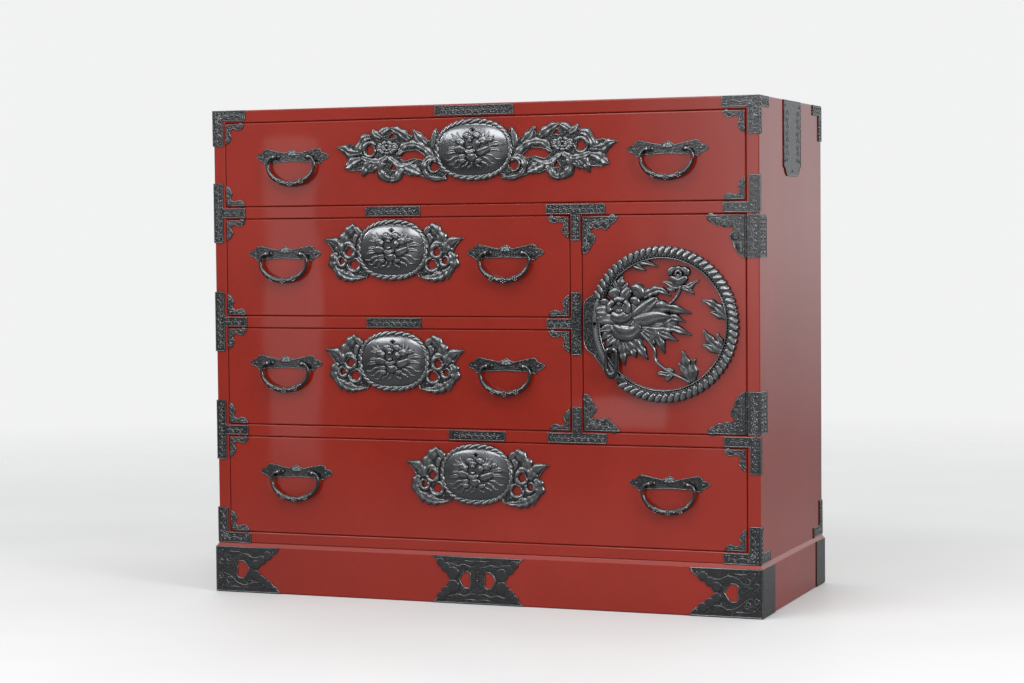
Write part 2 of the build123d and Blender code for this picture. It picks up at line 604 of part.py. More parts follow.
def plinth_boards():
    """The base frame as four boards with mitred ends."""
    frame = plinth_frame()
    outer_x, inner_x = HALF_WIDTH + PLINTH_OVERHANG, HALF_WIDTH + PLINTH_OVERHANG - PLINTH_BOARD
    front, back = FRONT - PLINTH_OVERHANG, BACK + PLINTH_OVERHANG
    inner_front, inner_back = front + PLINTH_BOARD, back - PLINTH_BOARD
    boards = []
    for outer_y, inner_y in ((front, inner_front), (back, inner_back)):
        ends = [(-outer_x, outer_y), (outer_x, outer_y), (inner_x, inner_y), (-inner_x, inner_y)]
        boards.append(frame & extrude(make_face(Polyline(*ends, close=True)), amount=PLINTH_HEIGHT))
    ends = [(outer_x, front), (outer_x, back), (inner_x, inner_back), (inner_x, inner_front)]
    side = frame & extrude(make_face(Polyline(*ends, close=True)), amount=PLINTH_HEIGHT)
    return boards + both_sides(side)


# Iron plates on the carcase


def front_plate(face, x, z, y=FRONT, thickness=PLATE):
    """Plate that lies on the front."""
    return extrude(front_plane(x, z, y) * face, amount=thickness)


def plate_bar(x, z, y=FRONT):
    """Plain rectangular stretch of plate on the front."""
    return span_box(x, (y - PLATE, y), z)


def wrap_bar(y, z, x=HALF_WIDTH):
    """Stretch of plate bent round onto the right side."""
    return span_box((x, x + PLATE), y, z)


def bent_bar(x_inner, z, side_reach):
    """Bar on the front that turns the corner onto the right side."""
    front = span_box((x_inner, HALF_WIDTH + PLATE), (FRONT - PLATE, FRONT), z)
    return front + wrap_bar((FRONT - PLATE, FRONT + side_reach), z)


def corner_plate(z_edge, direction):
    """L plate at the top or bottom corner; direction is down or up along the side."""
    arm = bent_bar(
        HALF_WIDTH - CORNER_ARM, (z_edge, z_edge + direction * CORNER_WIDTH), CORNER_SIDE_ARM
    )
    leg = bent_bar(
        HALF_WIDTH - CORNER_WIDTH, (z_edge, z_edge + direction * CORNER_ARM), CORNER_SIDE_LEG
    )
    return arm + leg


def tee_plate(rail_low, up=True, down=True):
    """Plate on the right side board's edge with an arm along a rail."""
    middle = rail_low + RAIL / 2
    high = middle + (TEE_BAR / 2 if up else TEE_WIDTH / 2)
    low = middle - (TEE_BAR / 2 if down else TEE_WIDTH / 2)
    bar = bent_bar(HALF_WIDTH - TEE_WIDTH, (low, high), TEE_SIDE_WRAP)
    arm_end = HALF_WIDTH - TEE_WIDTH / 2 - TEE_ARM
    arm = plate_bar((arm_end, HALF_WIDTH - TEE_WIDTH / 2), (middle - TEE_WIDTH / 2, middle + TEE_WIDTH / 2))
    return bar + arm


def left_tee_plates():
    """Three plates down the left edge, one for each rail."""
    rails = (UPPER_RAIL_LOW, MIDDLE_RAIL_LOW, LOWER_RAIL_LOW)
    return [mirror(tee_plate(rail), about=Plane.YZ) for rail in rails]


def centre_tee(rail_low, direction):
    """Plate where the divider meets a full rail."""
    middle = rail_low + RAIL / 2
    half = TEE_WIDTH / 2
    bar = plate_bar((DIVIDER_CENTRE - TEE_BAR / 2, DIVIDER_CENTRE + TEE_BAR / 2), (middle - half, middle + half))
    stem = plate_bar((DIVIDER_CENTRE - half, DIVIDER_CENTRE + half), (middle, middle + direction * TEE_ARM))
    return bar + stem


def lock_cross_plate():
    """Plate at the short rail, with the half moon that completes the door's lock plate."""
    middle = MIDDLE_RAIL_LOW + RAIL / 2
    half = TEE_WIDTH / 2
    bar = plate_bar((DIVIDER_CENTRE - half, DIVIDER_CENTRE + half), (middle - TEE_BAR / 2, middle + TEE_BAR / 2))
    arm = plate_bar((DIVIDER_CENTRE - TEE_ARM, DIVIDER_CENTRE), (middle - half, middle + half))
    moon = outline(HALF_MOON_SHARES, HALF_MOON_DEPTH, HALF_MOON_HEIGHT / 2)
    edge = DIVIDER_RIGHT - EDGE_EASE - HALF_MOON_DEPTH
    return bar + arm + front_plate(moon, edge, RING_CENTRE_Z, thickness=LOBE_THICKNESS)


def rail_plates():
    """Small plates in the middle of the top board and of each rail."""
    spots = [
        (0, TOP_BOARD_LOW + PANEL / 2, TOP_PLATE_LENGTH),
        (LEFT_OPENING_CENTRE, UPPER_RAIL_LOW + RAIL / 2, RAIL_PLATE_LENGTH),
        (LEFT_OPENING_CENTRE, MIDDLE_RAIL_LOW + RAIL / 2, RAIL_PLATE_LENGTH),
        (0, LOWER_RAIL_LOW + RAIL / 2, RAIL_PLATE_LENGTH),
    ]
    return [
        plate_bar((x - length / 2, x + length / 2), (z - TEE_WIDTH / 2, z + TEE_WIDTH / 2))
        for x, z, length in spots
    ]


def side_strap():
    """Broad plate that hangs from the top edge of a side."""
    face = outline(STRAP_SHARES, STRAP_WIDTH, STRAP_DROP)
    return extrude(side_plane(FRONT + STRAP_FROM_FRONT, CASE_TOP) * face, amount=PLATE)


def rear_corner(z_edge, direction):
    """L plate at a rear corner of a side."""
    arm = wrap_bar((BACK - REAR_ARM, BACK), (z_edge, z_edge + direction * CORNER_WIDTH))
    leg = wrap_bar((BACK - REAR_LEG, BACK), (z_edge, z_edge + direction * CORNER_ARM))
    return arm + leg


def plinth_corner_plate():
    """Shaped plate at a front corner of the plinth, bent round onto the side."""
    half = PLINTH_PLATE_HEIGHT / 2
    outer = HALF_WIDTH + PLINTH_OVERHANG
    front = FRONT - PLINTH_OVERHANG
    face = outline(PLINTH_CORNER_SHARES, PLINTH_CORNER_LENGTH, half)
    face -= outline(PLINTH_CORNER_HOLE_SHARES, PLINTH_CORNER_LENGTH, half)
    plate = front_plate(face, outer + PLATE - PLINTH_CORNER_LENGTH, PLINTH_PLATE_LIFT + half, front)
    levels = (PLINTH_PLATE_LIFT, PLINTH_PLATE_LIFT + PLINTH_PLATE_HEIGHT)
    return plate + wrap_bar((front - PLATE, front + PLINTH_SIDE_WRAP), levels, outer)


def plinth_rear_plate():
    """Plate at a rear corner of the plinth's side, with its lower rear corner rounded."""
    back = BACK + PLINTH_OVERHANG
    levels = (PLINTH_PLATE_LIFT, PLINTH_PLATE_LIFT + PLINTH_PLATE_HEIGHT)
    plate = wrap_bar((back - PLINTH_REAR_WRAP, back), levels, HALF_WIDTH + PLINTH_OVERHANG)
    corner = plate.edges().filter_by(Axis.X).group_by(Axis.Z)[0].sort_by(Axis.Y)[-1]
    return fillet(corner, PLINTH_FOOT_RADIUS)


def plinth_centre_plate():
    """Pierced plate in the middle of the plinth."""
    half_length, half = PLINTH_CENTRE_LENGTH / 2, PLINTH_PLATE_HEIGHT / 2
    right = outline(PLINTH_CENTRE_SHARES, half_length, half)
    right -= outline(PLINTH_CENTRE_HOLE_SHARES, half_length, half)
    face = right + mirror(right, about=Plane.YZ)
    return front_plate(face, 0, PLINTH_PLATE_LIFT + half, FRONT - PLINTH_OVERHANG)


# Hinges


def knuckle_spans(z_low, for_frame):
    """Height ranges of the knuckles that belong to the frame leaf or the door leaf."""
    pitch = HINGE_HEIGHT / HINGE_KNUCKLES
    gap = HINGE_KNUCKLE_GAP / 2
    first = 0 if for_frame else 1
    return [
        (z_low + index * pitch + gap, z_low + (index + 1) * pitch - gap)
        for index in range(first, HINGE_KNUCKLES, 2)
    ]


def knuckle(span, side):
    """One barrel of a hinge with the web that joins it to its leaf."""
    low, high = span
    seat = Pos(HINGE_AXIS_X, HINGE_AXIS_Y, low)
    near = HINGE_AXIS_X + side * HINGE_BORE_RADIUS
    far = HINGE_AXIS_X + side * HINGE_KNUCKLE_RADIUS * 2
    barrel = seat * extrude(RegularPolygon(HINGE_KNUCKLE_RADIUS, BARREL_SIDES), amount=high - low)
    barrel += span_box((near, far), (FRONT - PLATE, FRONT), span)
    return barrel - seat * extrude(bore_face(HINGE_BORE_RADIUS), amount=high - low)


def hinge_levels():
    """Lower end of each hinge, close to the ends of the door."""
    return (DOOR_LOW + FRONT_GAP, DOOR_HIGH - FRONT_GAP - HINGE_HEIGHT)


def hinge_frame_leaf(z_low):
    """Leaf on the side board's edge, bent round onto the side."""
    edge = HINGE_AXIS_X + HINGE_KNUCKLE_RADIUS + MOVING_CLEARANCE
    leaf = bent_bar(edge, (z_low, z_low + HINGE_HEIGHT), HINGE_SIDE_WRAP)
    for span in knuckle_spans(z_low, True):
        leaf += knuckle(span, 1)
    return leaf


def hinge_door_leaf(z_low, upper):
    """Scalloped leaf on the door."""
    face = outline(HINGE_LEAF_SHARES, HINGE_LEAF_WIDTH, HINGE_HEIGHT)
    if not upper:
        face = mirror(face, about=Plane.XZ)
    edge = HINGE_AXIS_X - HINGE_KNUCKLE_RADIUS - MOVING_CLEARANCE
    leaf = front_plate(face, edge, z_low + HINGE_HEIGHT if upper else z_low)
    for span in knuckle_spans(z_low, False):
        leaf += knuckle(span, -1)
    return leaf


def hinge_pin(z_low):
    """Pin through the knuckles."""
    radius = HINGE_BORE_RADIUS - FIT_CLEARANCE
    seat = Pos(HINGE_AXIS_X, HINGE_AXIS_Y, z_low)
    return seat * extrude(RegularPolygon(radius, BARREL_SIDES), amount=HINGE_HEIGHT)


# Lock plates and locks


def oval_boss(half_width, half_height, rise, steps):
    """Oval boss whose crown narrows by the given shares of its size and rise."""
    levels = []
    for size_share, rise_share in steps:
        corners = around(half_width * size_share, half_height * size_share, OVAL_SIDES, OVAL_FULLNESS)
        levels.append((corners, rise * rise_share))
    return stacked_block(levels)


def small_wing():
    """Openwork leaves at the right of a small lock plate."""
    wing = outline(SMALL_WING_SHARES, LOCK_HALF_WIDTH, LOCK_HALF_HEIGHT)
    for share in SMALL_WING_HOLE_SHARES:
        wing -= round_hole(share, LOCK_HALF_WIDTH, LOCK_HALF_HEIGHT)
    return wing


def top_wing():
    """Openwork leaves at the right of the top drawer's lock plate."""
    sizes = (TOP_LOCK_HALF_WIDTH, LOCK_HALF_HEIGHT)
    wing = outline(TOP_WING_SHARES, *sizes)
    wing -= outline(TOP_WING_LENS_SHARES, *sizes)
    for share in TOP_WING_HOLE_SHARES:
        wing -= round_hole(share, *sizes)
    for rows in TOP_WING_GAP_SHARES:
        wing -= outline(rows, *sizes)
    return wing


def lock_plate(wing, oval_width, dome_width):
    """Winged lock plate with a thick rim, a crowned boss and a keyhole."""
    plane = front_plane()
    plate = extrude(plane * (wing + mirror(wing, about=Plane.YZ)), amount=WING_THICKNESS)
    plate += plane * oval_boss(oval_width / 2, LOCK_OVAL_HEIGHT / 2, RIM_THICKNESS, RIM_SECTION_SHARES)
    crown = oval_boss(dome_width / 2, LOCK_DOME_HEIGHT / 2, DOME_RISE - RIM_THICKNESS, DOME_SECTION_SHARES)
    plate += front_plane(y=FRONT - RIM_THICKNESS) * crown
    keyhole = front_plane(0, KEYHOLE_ABOVE_OVAL) * bore_face(KEYHOLE_RADIUS)
    return plate - extrude(keyhole, amount=DOME_RISE + OVERRUN)


def lock_case(x, z, y):
    """Iron box on the back of a front, with a channel for the bolt and a key passage."""
    half = LOCK_CASE_WIDTH / 2
    case = span_box((x - half, x + half), (y, y + LOCK_CASE_DEPTH), (z - LOCK_CASE_HEIGHT, z))
    case -= bolt_channel(x, z, y)
    middle = z + LOCK_CASE_DROP + FRONT_GAP - KEYHOLE_FROM_EDGE
    return case - key_passage(x, middle, y, LOCK_CASE_WALL)


def key_passage(x, z, y, depth):
    """Square way for the key through a board or a wall of a lock case."""
    half = KEY_PASSAGE / 2
    return span_box((x - half, x + half), (y, y + depth), (z - half, z + half))


def bolt_space(x, y, z):
    """Room round a bolt between two heights."""
    half = BOLT_WIDTH / 2 + RUNNING_GAP
    start = y + LOCK_CASE_WALL
    return span_box((x - half, x + half), (start, start + BOLT_THICKNESS + 2 * RUNNING_GAP), z)


def bolt_channel(x, z, y):
    """Slot that opens at the top of a lock case."""
    return bolt_space(x, y, (z - BOLT_SINK - BOLT_LENGTH - RUNNING_GAP, z))


def mortise(x, z, y):
    """Space above a lock case that takes the thrown bolt."""
    return bolt_space(x, y, (z, z + BOLT_TRAVEL - BOLT_SINK + RUNNING_GAP))


def lock_bolt(x, z, y):
    """Bolt drawn back into its case."""
    start, top, half = y + LOCK_CASE_WALL + RUNNING_GAP, z - BOLT_SINK, BOLT_WIDTH / 2
    return span_box((x - half, x + half), (start, start + BOLT_THICKNESS), (top - BOLT_LENGTH, top))


def drawer_mortise(x, board_low):
    """Mortise in the board over a drawer."""
    drop = LOCK_CASE_DROP + FRONT_GAP
    return mortise(x, board_low - drop, FRONT + DRAWER_FRONT)


def laid_on_left(shape):
    """Turns a lock made upright at the origin so that its bolt points left."""
    place = Pos(DIVIDER_RIGHT + FRONT_GAP + LOCK_CASE_DROP, 0, RING_CENTRE_Z)
    return place * Rotation(0, -90, 0) * shape


def door_mortise():
    """Mortise in the divider for the door's bolt."""
    return laid_on_left(mortise(0, 0, FRONT + DOOR_THICKNESS))


# Drawers


def bar_path(shares, half_width, drop, radius):
    """Points and radii along a drop handle, from its right end round to its left end."""
    right = [(x * half_width, z * drop, share * radius) for x, z, share in shares]
    return right + [(-x, z, size) for x, z, size in reversed(right[:-1])]


def bar_section(before, here, after, thickness):
    """Corners of a drop handle's section, at right angles to the way it runs."""
    x, z, radius = here
    along = Vector(1, 0, 0)
    if here not in (before, after):
        along = Vector(after[0] - before[0], 0, after[1] - before[1]).normalized()
    across = Vector(-along.Z, 0, along.X)
    forward = Vector(0, -min(thickness, radius), 0)
    turns = [2 * math.pi * index / BAR_SIDES for index in range(BAR_SIDES)]
    middle = Vector(x, 0, z)
    return [middle + forward * math.cos(turn) + across * radius * math.sin(turn) for turn in turns]


def faceted_bar(sections):
    """Solid bar with flat facets from each section to the next."""
    faces = [facet(*sections[0]), facet(*sections[-1])]
    for near, far in zip(sections, sections[1:]):
        for index in range(BAR_SIDES):
            faces.append(facet(near[index - 1], near[index], far[index]))
            faces.append(facet(near[index - 1], far[index], far[index - 1]))
    return Solid(Shell(faces))


def bail(path, thickness, pin_length):
    """Drop handle whose ends turn in as pins, hung at the origin."""
    ends = [path[0], *path, path[-1]]
    sections = [bar_section(*ends[i:i + 3], thickness) for i in range(len(path))]
    start, inner = path[0][0], path[0][0] - pin_length
    radius = POST_BORE_RADIUS - FIT_CLEARANCE
    pins = [[bar_section(pin, pin, pin, radius) for pin in ((x, 0, radius), (y, 0, radius))]
            for x, y in ((inner, start), (-start, -inner))]
    return faceted_bar(pins[0] + sections + pins[1])


def post(x, z, y, reach, width, half_height):
    """Eye post that carries the end of a bail."""
    rise = y - (FRONT - reach)
    face = Pos(-(rise + half_height) / 2, 0) * Rectangle(rise + half_height, 2 * half_height)
    face = chamfer(face.vertices().group_by(Axis.X)[0], half_height * POST_EASE_SHARE)
    face -= Pos(-rise, 0) * bore_face(POST_BORE_RADIUS)
    return extrude(side_plane(y, z, x - width / 2) * face, amount=width)


def handle_plate(x, z):
    """Shaped backing plate of a handle."""
    right = outline(HANDLE_PLATE_SHARES, HANDLE_HALF_WIDTH, HANDLE_HALF_HEIGHT)
    return front_plate(right + mirror(right, about=Plane.YZ), x, z)


def handle_mount(x, z):
    """Backing plate and the two posts that stand on it."""
    posts = [
        post(
            x + side * POST_SPACING / 2, z, FRONT - PLATE, BAIL_PIVOT_REACH, POST_WIDTH, POST_HALF_HEIGHT
        )
        for side in (-1, 1)
    ]
    return [handle_plate(x, z)] + posts


def hung_bail(x, z):
    """Bail of a drawer handle in its posts."""
    path = bar_path(BAIL_PATH_SHARES, BAIL_HALF_WIDTH, BAIL_DROP, BAIL_BAR_RADIUS)
    return Pos(x, FRONT - BAIL_PIVOT_REACH, z) * bail(path, BAIL_BAR_RADIUS, BAIL_PIN_LENGTH)


def drawer_front(x, z):
    """Lacquered front board with eased edges, a bottom groove and a key passage."""
    front = span_box(x, (FRONT, FRONT + DRAWER_FRONT), z)
    front = chamfer(front.faces().sort_by(Axis.Y)[0].edges(), EDGE_EASE)
    groove_z = min(z) + BOTTOM_RAISE
    inset = DRAWER_SIDE - GROOVE_DEPTH
    front -= span_box(
        (min(x) + inset, max(x) - inset),
        (FRONT + DRAWER_FRONT - GROOVE_DEPTH, FRONT + DRAWER_FRONT),
        (groove_z, groove_z + DRAWER_BOTTOM),
    )
    middle, key_z = (min(x) + max(x)) / 2, max(z) + FRONT_GAP - KEYHOLE_FROM_EDGE
    return front - key_passage(middle, key_z, FRONT, DRAWER_FRONT)


def drawer_box(x, z):
    """Sides, back and bottom of a drawer, each a board of its own."""
    left, right = x
    low, high = z
    start, end = FRONT + DRAWER_FRONT, FRONT + DRAWER_DEPTH
    groove = (low + BOTTOM_RAISE, low + BOTTOM_RAISE + DRAWER_BOTTOM)
    run = (low - FRONT_GAP + RUNNING_GAP, high - DRAWER_TOP_DROP)
    inset = DRAWER_SIDE - GROOVE_DEPTH
    panel = span_box((left + inset, right - inset), (start - GROOVE_DEPTH, end), groove)
    boards = [panel]
    for outer, inner in ((left, left + DRAWER_SIDE), (right, right - DRAWER_SIDE)):
        boards.append(span_box((outer, inner), (start, end), run) - panel)
    back_z = (groove[1], high - DRAWER_TOP_DROP)
    boards.append(span_box((left + DRAWER_SIDE, right - DRAWER_SIDE), (end - DRAWER_BACK, end), back_z))
    return boards


def drawer_corners(x, z):
    """Scalloped plate at each corner of a drawer front."""
    face = outline(DRAWER_CORNER_SHARES, DRAWER_CORNER, DRAWER_CORNER)
    turned = mirror(face, about=Plane.XZ)
    plates = []
    for edge, flip in ((min(x), False), (max(x), True)):
        for level, shape in ((max(z), face), (min(z), turned)):
            shape = mirror(shape, about=Plane.YZ) if flip else shape
            inward_x = -EDGE_EASE if flip else EDGE_EASE
            inward_z = -EDGE_EASE if level == max(z) else EDGE_EASE
            plates.append(front_plate(shape, edge + inward_x, level + inward_z))
    return plates


def drawer(name, opening, plate, handles):
    """All the pieces of one drawer, by node name."""
    left, right, low, high = opening
    x, z = (left + FRONT_GAP, right - FRONT_GAP), (low + FRONT_GAP, high - FRONT_GAP)
    middle = (left + right) / 2
    case_z = max(z) - LOCK_CASE_DROP
    inner_face = FRONT + DRAWER_FRONT
    level = high - HANDLE_DROP
    lock_z = high - LOCK_CENTRE_FROM_EDGE
    spots = [middle - handles, middle + handles]
    mounts = [piece for spot in spots for piece in handle_mount(spot, level)]
    return {
        f"{name}_front": [drawer_front(x, z)],
        f"{name}_box": drawer_box(x, z),
        f"{name}_fittings": drawer_corners(x, z) + mounts,
        f"{name}_lock_plate": [Pos(middle, 0, lock_z) * plate],
        f"{name}_lock_case": [lock_case(middle, case_z, inner_face)],
        f"{name}_lock_bolt": [lock_bolt(middle, case_z, inner_face)],
        f"{name}_left_bail": [hung_bail(spots[0], level)],
        f"{name}_right_bail": [hung_bail(spots[1], level)],
    }


def all_drawers():
    """The four drawers with their locks and handles."""
    small = lock_plate(small_wing(), LOCK_OVAL_WIDTH, LOCK_DOME_WIDTH)
    large = lock_plate(top_wing(), TOP_LOCK_OVAL_WIDTH, TOP_LOCK_DOME_WIDTH)
    wide = (-HALF_INNER, HALF_INNER)
    left = (-HALF_INNER, DIVIDER_LEFT)
    rows = [
        ("top_drawer", (*wide, TOP_OPENING_LOW, TOP_BOARD_LOW), large, WIDE_HANDLES),
        ("upper_drawer", (*left, UPPER_OPENING_LOW, UPPER_RAIL_LOW), small, LEFT_HANDLES),
        ("lower_drawer", (*left, LOWER_OPENING_LOW, MIDDLE_RAIL_LOW), small, LEFT_HANDLES),
        ("bottom_drawer", (*wide, BOTTOM_OPENING_LOW, LOWER_RAIL_LOW), small, WIDE_HANDLES),
    ]
    nodes = {}
    for name, opening, plate, handles in rows:
        nodes.update(drawer(name, opening, plate, handles))
    return nodes


# Door


def door_panel():
    """Door board with eased front edges and a way for the key."""
    panel = span_box((DOOR_LEFT, DOOR_RIGHT), (FRONT, FRONT + DOOR_THICKNESS), (DOOR_LOW, DOOR_HIGH))
    panel = chamfer(panel.faces().sort_by(Axis.Y)[0].edges(), EDGE_EASE)
    return panel - key_passage(DIVIDER_RIGHT + KEYHOLE_FROM_EDGE, RING_CENTRE_Z, FRONT, DOOR_THICKNESS)


def door_corners():
    """Scalloped plates at the two left corners of the door."""
    face = outline(DOOR_CORNER_SHARES, DOOR_CORNER, DOOR_CORNER)
    edge = DOOR_LEFT + EDGE_EASE
    return [
        front_plate(face, edge, DOOR_HIGH - EDGE_EASE),
        front_plate(mirror(face, about=Plane.XZ), edge, DOOR_LOW + EDGE_EASE),
    ]


def ring_block(radius, top_radius):
    """Many-sided block that narrows or widens towards its crown."""
    rows = [(radius, 0), (radius, RING_STEP), (top_radius, RING_RISE)]
    return front_plane() * stacked_block([(around(size, size, RING_SIDES), rise) for size, rise in rows])


def door_ring():
    """Heavy ring, open at the left, with the plate there that carries the keyhole."""
    inner = RING_RADIUS - RING_WIDTH
    crown = RING_WIDTH * RING_CROWN_SHARE
    plane = front_plane()
    ring = ring_block(RING_RADIUS, RING_RADIUS - crown) - ring_block(inner, inner + crown)
    ring -= extrude(plane * outline(RING_GAP_SHARES, RING_RADIUS, RING_RADIUS), amount=RING_RISE)
    lobe = outline(LOBE_SHARES, RING_RADIUS, RING_RADIUS)
    lobe -= outline(FLOWER_SHARES, RING_RADIUS, RING_RADIUS)
    lobe -= Pos(KEYHOLE_FROM_EDGE - RING_FROM_DIVIDER, 0) * bore_face(KEYHOLE_RADIUS)
    return Pos(RING_CENTRE_X, 0, RING_CENTRE_Z) * (ring + extrude(plane * lobe, amount=LOBE_THICKNESS))


def petal(share, rise_share):
    """Domed petal that stands on the flower plate."""
    x, z, half_length, half_width, turn = share
    levels = []
    for size, level in PETAL_SECTION_SHARES:
        sizes = (size * half_length * RING_RADIUS, size * half_width * RING_RADIUS)
        levels.append((around(*sizes, PETAL_SIDES), level * rise_share * PETAL_RISE))
    place = Pos(x * RING_RADIUS, z * RING_RADIUS) * Rotation(0, 0, turn)
    return front_plane(y=FRONT - LEAF_THICKNESS) * (place * stacked_block(levels))


def door_peony():
    """Openwork flower with its bud, stems and leaves, fitted inside the ring."""
    faces = [
        outline(shares, RING_RADIUS, RING_RADIUS)
        for shares in (
            FLOWER_SHARES, BUD_SHARES, TOP_LEAF_SHARES, UPPER_LEAF_SHARES, LOWER_LEAF_SHARES,
            BRANCH_LEAF_SHARES, BRANCH_TIP_SHARES,
        )
    ]
    for rows in (BRANCH_STEM_SHARES, BUD_STEM_SHARES):
        line = Polyline(*[(x * RING_RADIUS, z * RING_RADIUS) for x, z in rows])
        faces.append(trace(line, STEM_WIDTH))
    face = faces[0]
    for other in faces[1:]:
        face += other
    peony = extrude(front_plane() * face, amount=LEAF_THICKNESS)
    for share, rise_share in zip(PETAL_SHARES, PETAL_RISE_SHARES):
        peony += petal(share, rise_share)
    inner = RING_RADIUS - RING_WIDTH
    opening = front_plane() * Polygon(*around(inner, inner, RING_SIDES), align=None)
    peony &= extrude(opening, amount=LEAF_THICKNESS + PETAL_RISE)
    return Pos(RING_CENTRE_X, 0, RING_CENTRE_Z) * peony


def pull_place():
    """Middle of the pull's pin, across and up."""
    return RING_CENTRE_X - PULL_FROM_RING_X, RING_CENTRE_Z - PULL_FROM_RING_Z


def pull_staple():
    """Post on the flower plate that carries the door's pull."""
    x, z = pull_place()
    y = FRONT - LEAF_THICKNESS
    return post(x, z, y, PULL_PIVOT_REACH, PULL_POST_WIDTH, PULL_HALF_THICKNESS)


def door_pull():
    """Long drop pull of the door, hung in front of the ring."""
    x, z = pull_place()
    path = bar_path(PULL_PATH_SHARES, PULL_HALF_WIDTH, PULL_DROP, PULL_BAR_RADIUS)
    return Pos(x, FRONT - PULL_PIVOT_REACH, z) * bail(path, PULL_HALF_THICKNESS, PULL_PIN_LENGTH)


def door_pieces():
    """All the pieces of the door, by node name."""
    inner_face = FRONT + DOOR_THICKNESS
    lower, upper = hinge_levels()
    return {
        "door_panel": [door_panel()],
        "door_corner_plates": door_corners(),
        "door_hinge_leaves": [hinge_door_leaf(lower, False), hinge_door_leaf(upper, True)],
        "door_ring": [door_ring(), pull_staple()],
        "door_peony": [door_peony()],
        "door_lock_case": [laid_on_left(lock_case(0, 0, inner_face))],
        "door_lock_bolt": [laid_on_left(lock_bolt(0, 0, inner_face))],
        "door_pull": [door_pull()],
    }


# Whole chest


def carcase_boards():
    """Boards of the carcase and the plinth, by node name."""
    return {
        "left_side_panel": [side_panel(-1)],
        "right_side_panel": [side_panel(1)],
        "top_board": [top_board()],
        "bottom_board": [ease_front(full_shelf(CASE_BOTTOM, BOTTOM_BOARD), Axis.X)],
        "back_panel": [back_panel()],
        "upper_rail_board": [upper_rail_board()],
        "middle_rail_board": [middle_rail_board()],
        "lower_rail_board": [lower_rail_board()],
        "centre_divider": [centre_divider()],
        "cupboard_shelf": [cupboard_shelf()],
        "plinth_boards": plinth_boards(),
    }


def carcase_ironwork():
    """Iron plates and hinges of the carcase and the plinth, by node name."""
    corners = both_sides(corner_plate(CASE_TOP, -1)) + both_sides(corner_plate(CASE_BOTTOM, 1))
    right_ends = [tee_plate(UPPER_RAIL_LOW, down=False), tee_plate(LOWER_RAIL_LOW, up=False)]
    posts = [centre_tee(UPPER_RAIL_LOW, -1), lock_cross_plate(), centre_tee(LOWER_RAIL_LOW, 1)]
    rear = both_sides(rear_corner(CASE_TOP, -1)) + both_sides(rear_corner(CASE_BOTTOM, 1))
    levels = hinge_levels()
    return {
        "front_corner_plates": corners,
        "rail_end_plates": left_tee_plates() + right_ends,
        "rail_plates": rail_plates(),
        "divider_plates": posts,
        "side_straps": both_sides(side_strap()),
        "rear_corner_plates": rear + both_sides(plinth_rear_plate()),
        "plinth_plates": both_sides(plinth_corner_plate()) + [plinth_centre_plate()],
        "hinge_frame_leaves": [hinge_frame_leaf(low) for low in levels],
        "hinge_pins": [hinge_pin(low) for low in levels],
    }


def save_nodes(nodes):
    """Writes one file for each node."""
    os.makedirs("parts", exist_ok=True)
    for name, shapes in nodes.items():
        solids = solids_of(shapes)
        shape = solids[0] if len(solids) == 1 else Compound(children=solids)
        shape.label = name
        export_step(shape, f"parts/{name}.step")


save_nodes(carcase_boards() | carcase_ironwork() | door_pieces() | all_drawers())
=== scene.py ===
import logging
import math
from dataclasses import dataclass, field
from enum import Enum
from typing import Callable, Iterable, Sequence

import bmesh
import bpy
from mathutils import Matrix, Vector


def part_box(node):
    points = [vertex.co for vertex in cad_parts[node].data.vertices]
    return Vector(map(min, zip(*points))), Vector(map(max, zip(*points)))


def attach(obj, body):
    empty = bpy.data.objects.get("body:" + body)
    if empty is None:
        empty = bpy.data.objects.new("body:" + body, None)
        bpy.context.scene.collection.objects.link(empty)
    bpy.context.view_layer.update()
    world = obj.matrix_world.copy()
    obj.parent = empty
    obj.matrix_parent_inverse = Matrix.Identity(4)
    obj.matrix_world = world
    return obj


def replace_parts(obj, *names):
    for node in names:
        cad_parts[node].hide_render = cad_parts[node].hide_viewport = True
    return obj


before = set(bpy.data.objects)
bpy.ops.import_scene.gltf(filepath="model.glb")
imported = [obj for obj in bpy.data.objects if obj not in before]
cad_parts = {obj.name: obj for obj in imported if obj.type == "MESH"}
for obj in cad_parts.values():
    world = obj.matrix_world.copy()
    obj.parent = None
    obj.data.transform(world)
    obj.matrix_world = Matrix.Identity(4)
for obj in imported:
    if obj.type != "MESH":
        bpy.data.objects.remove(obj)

# Dresses the lacquered merchant's chest: boards, embossed iron plates, lock plates, handles
# and the door's ring and peony. Ornament is laid out in millimetres on the flat faces of the
# chest, with u to the right, v up and h out of the face.

MM = 0.001
FRONT = -215.7
HALF_WIDTH = 530.0
LOG = logging.getLogger("chest")

Point = tuple[float, float]
Disc = tuple[float, float, float]
Colour = tuple[float, float, float]
Surface = Callable[[float, float], float]
Socket = bpy.types.NodeSocket


# Layout


